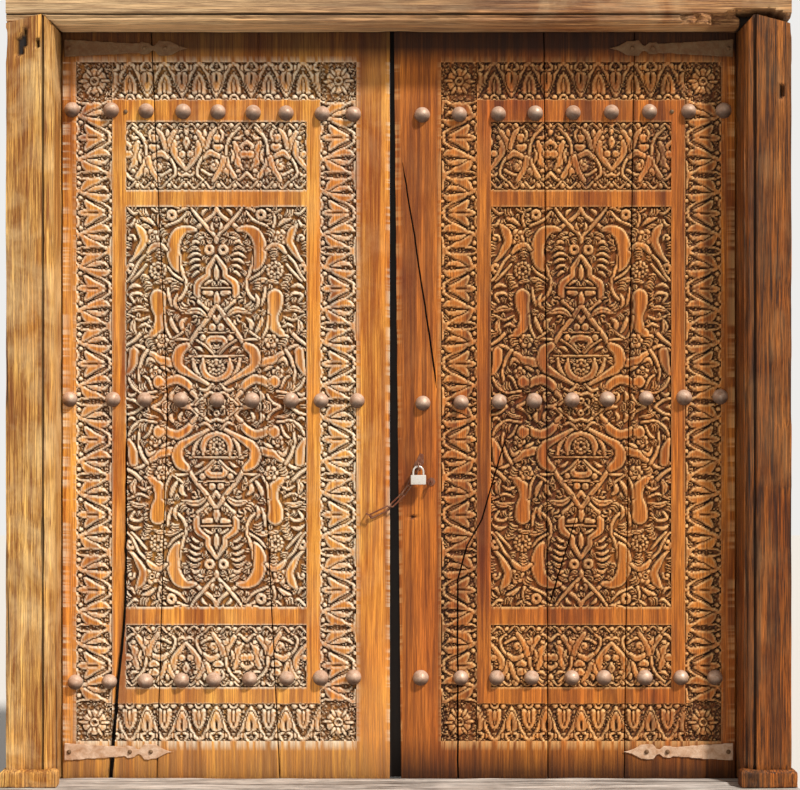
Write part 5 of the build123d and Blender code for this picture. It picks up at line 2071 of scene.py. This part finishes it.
TIMBERS = {
    # The two leaves are one timber: the left leaf's paler colours, brighter rims and more dust are painted
    # light for the leaf turned more to the sun, the right leaf's darker ones painted shade. head_shade paints
    # the lintel's shadow over a leaf's head, foot_shade painted shade along its foot.
    "right_leaf": TimberFinish("leaf_timber_right", paint(92, 36, 8), paint(200, 102, 34),
                               paint(238, 148, 52), paint(24, 9, 3), paint(255, 206, 140),
                               paint(190, 134, 80), edge_share=1.0, dust_share=0.14, bump=0.7,
                               foot_dust=0.06, head_shade=0.92, foot_shade=0.8),
    "left_leaf": TimberFinish("leaf_timber_left", paint(132, 58, 10), paint(246, 144, 44),
                              paint(255, 194, 90), paint(28, 11, 3), paint(255, 246, 220),
                              paint(238, 192, 132), edge_share=1.0, dust_share=0.25, bump=0.7,
                              foot_dust=0.25, head_shade=0.85, foot_shade=0.35),
    # The left jamb's paler colours and pale dust are partly painted light, for a jamb in the sun.
    "jamb_left": TimberFinish("jamb_timber_left", paint(120, 62, 18), paint(240, 160, 62),
                              paint(255, 214, 128), paint(60, 32, 14), paint(255, 222, 160),
                              paint(255, 222, 164), dust_share=0.5, bump=1.0, figure=0.95, fissures=0.9),
    "jamb_right": TimberFinish("jamb_timber_right", paint(34, 11, 0), paint(172, 88, 18),
                               paint(196, 124, 54), paint(40, 20, 10), paint(200, 150, 100),
                               paint(176, 134, 92), dust_share=0.18, bump=1.0, figure=0.95, fissures=1.0),
    "lintel": TimberFinish("lintel_timber", paint(84, 38, 12), paint(200, 126, 66), paint(246, 196, 132),
                           paint(74, 34, 12), paint(236, 200, 156), paint(246, 214, 166),
                           grain=Grain.LEVEL, dust_share=0.35, bump=1.0, figure=0.85, fissures=0.9,
                           paler_to_left=0.65),
    "sill": TimberFinish("sill_timber", paint(64, 50, 40), paint(240, 228, 216), paint(250, 244, 238),
                         paint(60, 44, 32), paint(248, 240, 232), paint(232, 220, 208),
                         grain=Grain.LEVEL, dust_share=0.45, bump=1.0, figure=0.9, fissures=1.0),
    "batten": TimberFinish("batten_timber", paint(92, 56, 28), paint(150, 102, 60), paint(180, 134, 90),
                           paint(50, 28, 14), paint(190, 150, 110), paint(176, 144, 110),
                           grain=Grain.LEVEL, dust_share=0.4, bump=0.6, fissures=0.4),
}

IRONS = {
    # Boss heads are painted darker underneath by under: painted shade.
    "boss": IronFinish("boss_iron", paint(222, 192, 168), paint(164, 116, 84), paint(54, 30, 18), 0.42,
                       dent_size=150.0, bump=0.35, metallic=0.2, rough_clean=0.42, under=0.85),
    # The top straps' darker finish is partly painted shade under the lintel; the foot straps' paler one is
    # dust and painted light.
    "strap": IronFinish("strap_iron", paint(124, 98, 66), paint(108, 72, 42), paint(56, 38, 26), 0.55,
                        dent_size=120.0, bump=0.6, metallic=0.3, rough_clean=0.55),
    "dusty": IronFinish("dusty_lit_strap_iron", paint(232, 200, 172), paint(186, 138, 100), paint(112, 76, 50),
                        0.5, dent_size=120.0, bump=0.6, metallic=0.0, rough_clean=0.7),
    "rust": IronFinish("rusty_iron", paint(150, 112, 88), paint(116, 58, 30), paint(40, 22, 16), 0.6,
                       dent_size=160.0, bump=0.7, metallic=0.25, rough_clean=0.5),
    "steel": IronFinish("padlock_steel", paint(228, 222, 214), paint(186, 174, 160), paint(156, 148, 140),
                        0.2, dent_size=60.0, bump=0.06, metallic=0.5, rough_clean=0.32, rough_rusty=0.5),
    "brass": IronFinish("plug_brass", paint(190, 160, 96), paint(140, 108, 62), paint(96, 74, 44),
                        0.3, dent_size=90.0, bump=0.1, metallic=0.9, rough_clean=0.35, rough_rusty=0.6),
}

LINKS = ("first_link", "second_link", "third_link", "last_link")
EYES = {"chain_staple": "left_leaf", "lock_eye": "right_leaf", "old_eye": "right_leaf"}
FORGED = {
    **{f"chain_link_{number}": Refined(0.0007, 3, 0.0003, 0.006, "rusty_iron", body)
       for number, body in enumerate(LINKS, 1)},
    **{name: Refined(0.00075, 3, 0.0003, 0.006, "rusty_iron", body) for name, body in EYES.items()},
    "lock_plate": Refined(0.0007, 2, 0.0004, 0.009, "rusty_iron", "right_leaf"),
    "old_rose": Refined(0.0007, 2, 0.0003, 0.009, "rusty_iron", "right_leaf"),
    "padlock_shackle": Refined(0.0007, 4, 0.0, 0.01, "padlock_steel", "padlock_bow"),
    **{f"{side.label}_strap_{end}": Refined(0.0021, 2, 0.0009, 0.016, "strap_iron", side.body)
       for side in Side for end in ("top", "foot")},
    **{f"plinth_block_{side.label}": Refined(0.0026, 2, 0.0012, 0.02, "frame_wood", "frame")
       for side in Side},
}

BOSS_ROWS = {
    Side.LEFT: (((0.904, 0.796, 0.699, 0.597, 0.500, 0.403, 0.312, 0.212, 0.126), 1.942, 1.930),
                ((0.9105, 0.791, 0.703, 0.603, 0.503, 0.406, 0.298, 0.215, 0.1155), 1.141, 1.137),
                ((0.895, 0.8005, 0.701, 0.601, 0.512, 0.413, 0.310, 0.216, 0.125), 0.358, 0.372)),
    Side.RIGHT: (((0.065, 0.1676, 0.2756, 0.378, 0.483, 0.5886, 0.694, 0.802, 0.899), 1.928, 1.940),
                 ((0.067, 0.1726, 0.278, 0.375, 0.480, 0.577, 0.685, 0.790, 0.890), 1.130, 1.148),
                 ((0.061, 0.172, 0.271, 0.368, 0.479, 0.568, 0.681, 0.781, 0.875), 0.370, 0.371)),
}

LEAF_CRACKS = {
    Side.LEFT: (Crack(((0.7526, 1.139), (0.7587, 0.557), (0.783, 0.308), (0.800, 0.080)),
                      0.002, 0.009, 0.022),),
    Side.RIGHT: (Crack(((0.0086, 1.804), (0.054, 1.527), (0.106, 1.167)), 0.0026, 0.0034),
                 Crack(((0.304, 1.056), (0.269, 0.945), (0.230, 0.807), (0.189, 0.737), (0.163, 0.640),
                        (0.164, 0.100)), 0.0026, 0.0032),
                 Crack(((0.495, 0.829), (0.461, 0.715), (0.413, 0.560)), 0.0022, 0.0032)),
}

JAMB_ROT = (("LEFT", 1.018, 2.103, 0.0115, 0.036, -0.25), ("LEFT", 0.977, 2.106, 0.0040, 0.013, 0.1),
            ("LEFT", 1.012, 0.108, 0.032, 0.008, 0.0), ("RIGHT", 1.034, 1.972, 0.0030, 0.026, 0.15))


def main() -> None:
    """Build the whole door in order."""
    logging.basicConfig(level=logging.INFO, format="%(message)s")
    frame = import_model()
    groups = {"grain": timber_grain(), "wear_and_light": dust_wear_and_painted_light(), "skin": hammered_skin()}
    timber = {name: finish.make(groups) for name, finish in TIMBERS.items()}
    iron = {name: finish.make(groups) for name, finish in IRONS.items()}

    Studio().build()
    carving = CarvedField()
    carving.carve()
    left = Leaf(Side.LEFT, ((0.670, 0.641, 0.686), (0.329, 0.380, 0.390)), (0.0248, 0.0248, 0.0248), 0.025,
                0.71, LEAF_CRACKS[Side.LEFT], carving, seed=11)
    right = Leaf(Side.RIGHT, ((0.624, 0.638, 0.653), (0.413, 0.410, 0.402)), (0.007, -0.003, -0.013), -0.0247,
                 9.0, LEAF_CRACKS[Side.RIGHT], carving, holes=((0.041, 0.815, 0.005),), seed=23,
                 even_edge_share=0.45, meeting_shade=1.0)
    left.build(timber["left_leaf"])
    right.build(timber["right_leaf"])

    door_frame = DoorFrame(rot_holes=JAMB_ROT)
    door_frame.jamb(Side.LEFT, timber["jamb_left"])
    door_frame.jamb(Side.RIGHT, timber["jamb_right"])
    door_frame.lintel(timber["lintel"])
    door_frame.sill(timber["sill"])

    boss_tree = nail_tree("Forged boss", iron["boss"])
    small_tree = nail_tree("Forged nail", iron["strap"])
    for number, side in enumerate(Side):
        Bosses(boss_tree, iron["boss"]).build(side, BOSS_ROWS[side], 5 + number)
        StrapNails(small_tree, iron["strap"]).build(side, 9 + number)
        Battens(timber["batten"]).build(side)

    finish_of = {"rusty_iron": iron["rust"], "strap_iron": iron["strap"], "padlock_steel": iron["steel"]}
    for number, (name, way) in enumerate(FORGED.items()):
        # Foot straps take the paler finish, dust and painted light; the other straps the darker one
        material = iron["dusty"] if name.endswith("strap_foot") else finish_of.get(way.slot)
        if material is None:
            material = timber["jamb_left" if name.endswith("left") else "jamb_right"]
        way.make(frame["nodes"][name], material, 70 + number)
    Padlock().case(frame["nodes"]["padlock_body"], iron["steel"])
    plug = frame["nodes"]["padlock_plug"]
    plug.data.materials.clear()
    plug.data.materials.append(iron["brass"])


if __name__ == "__main__":
    main()
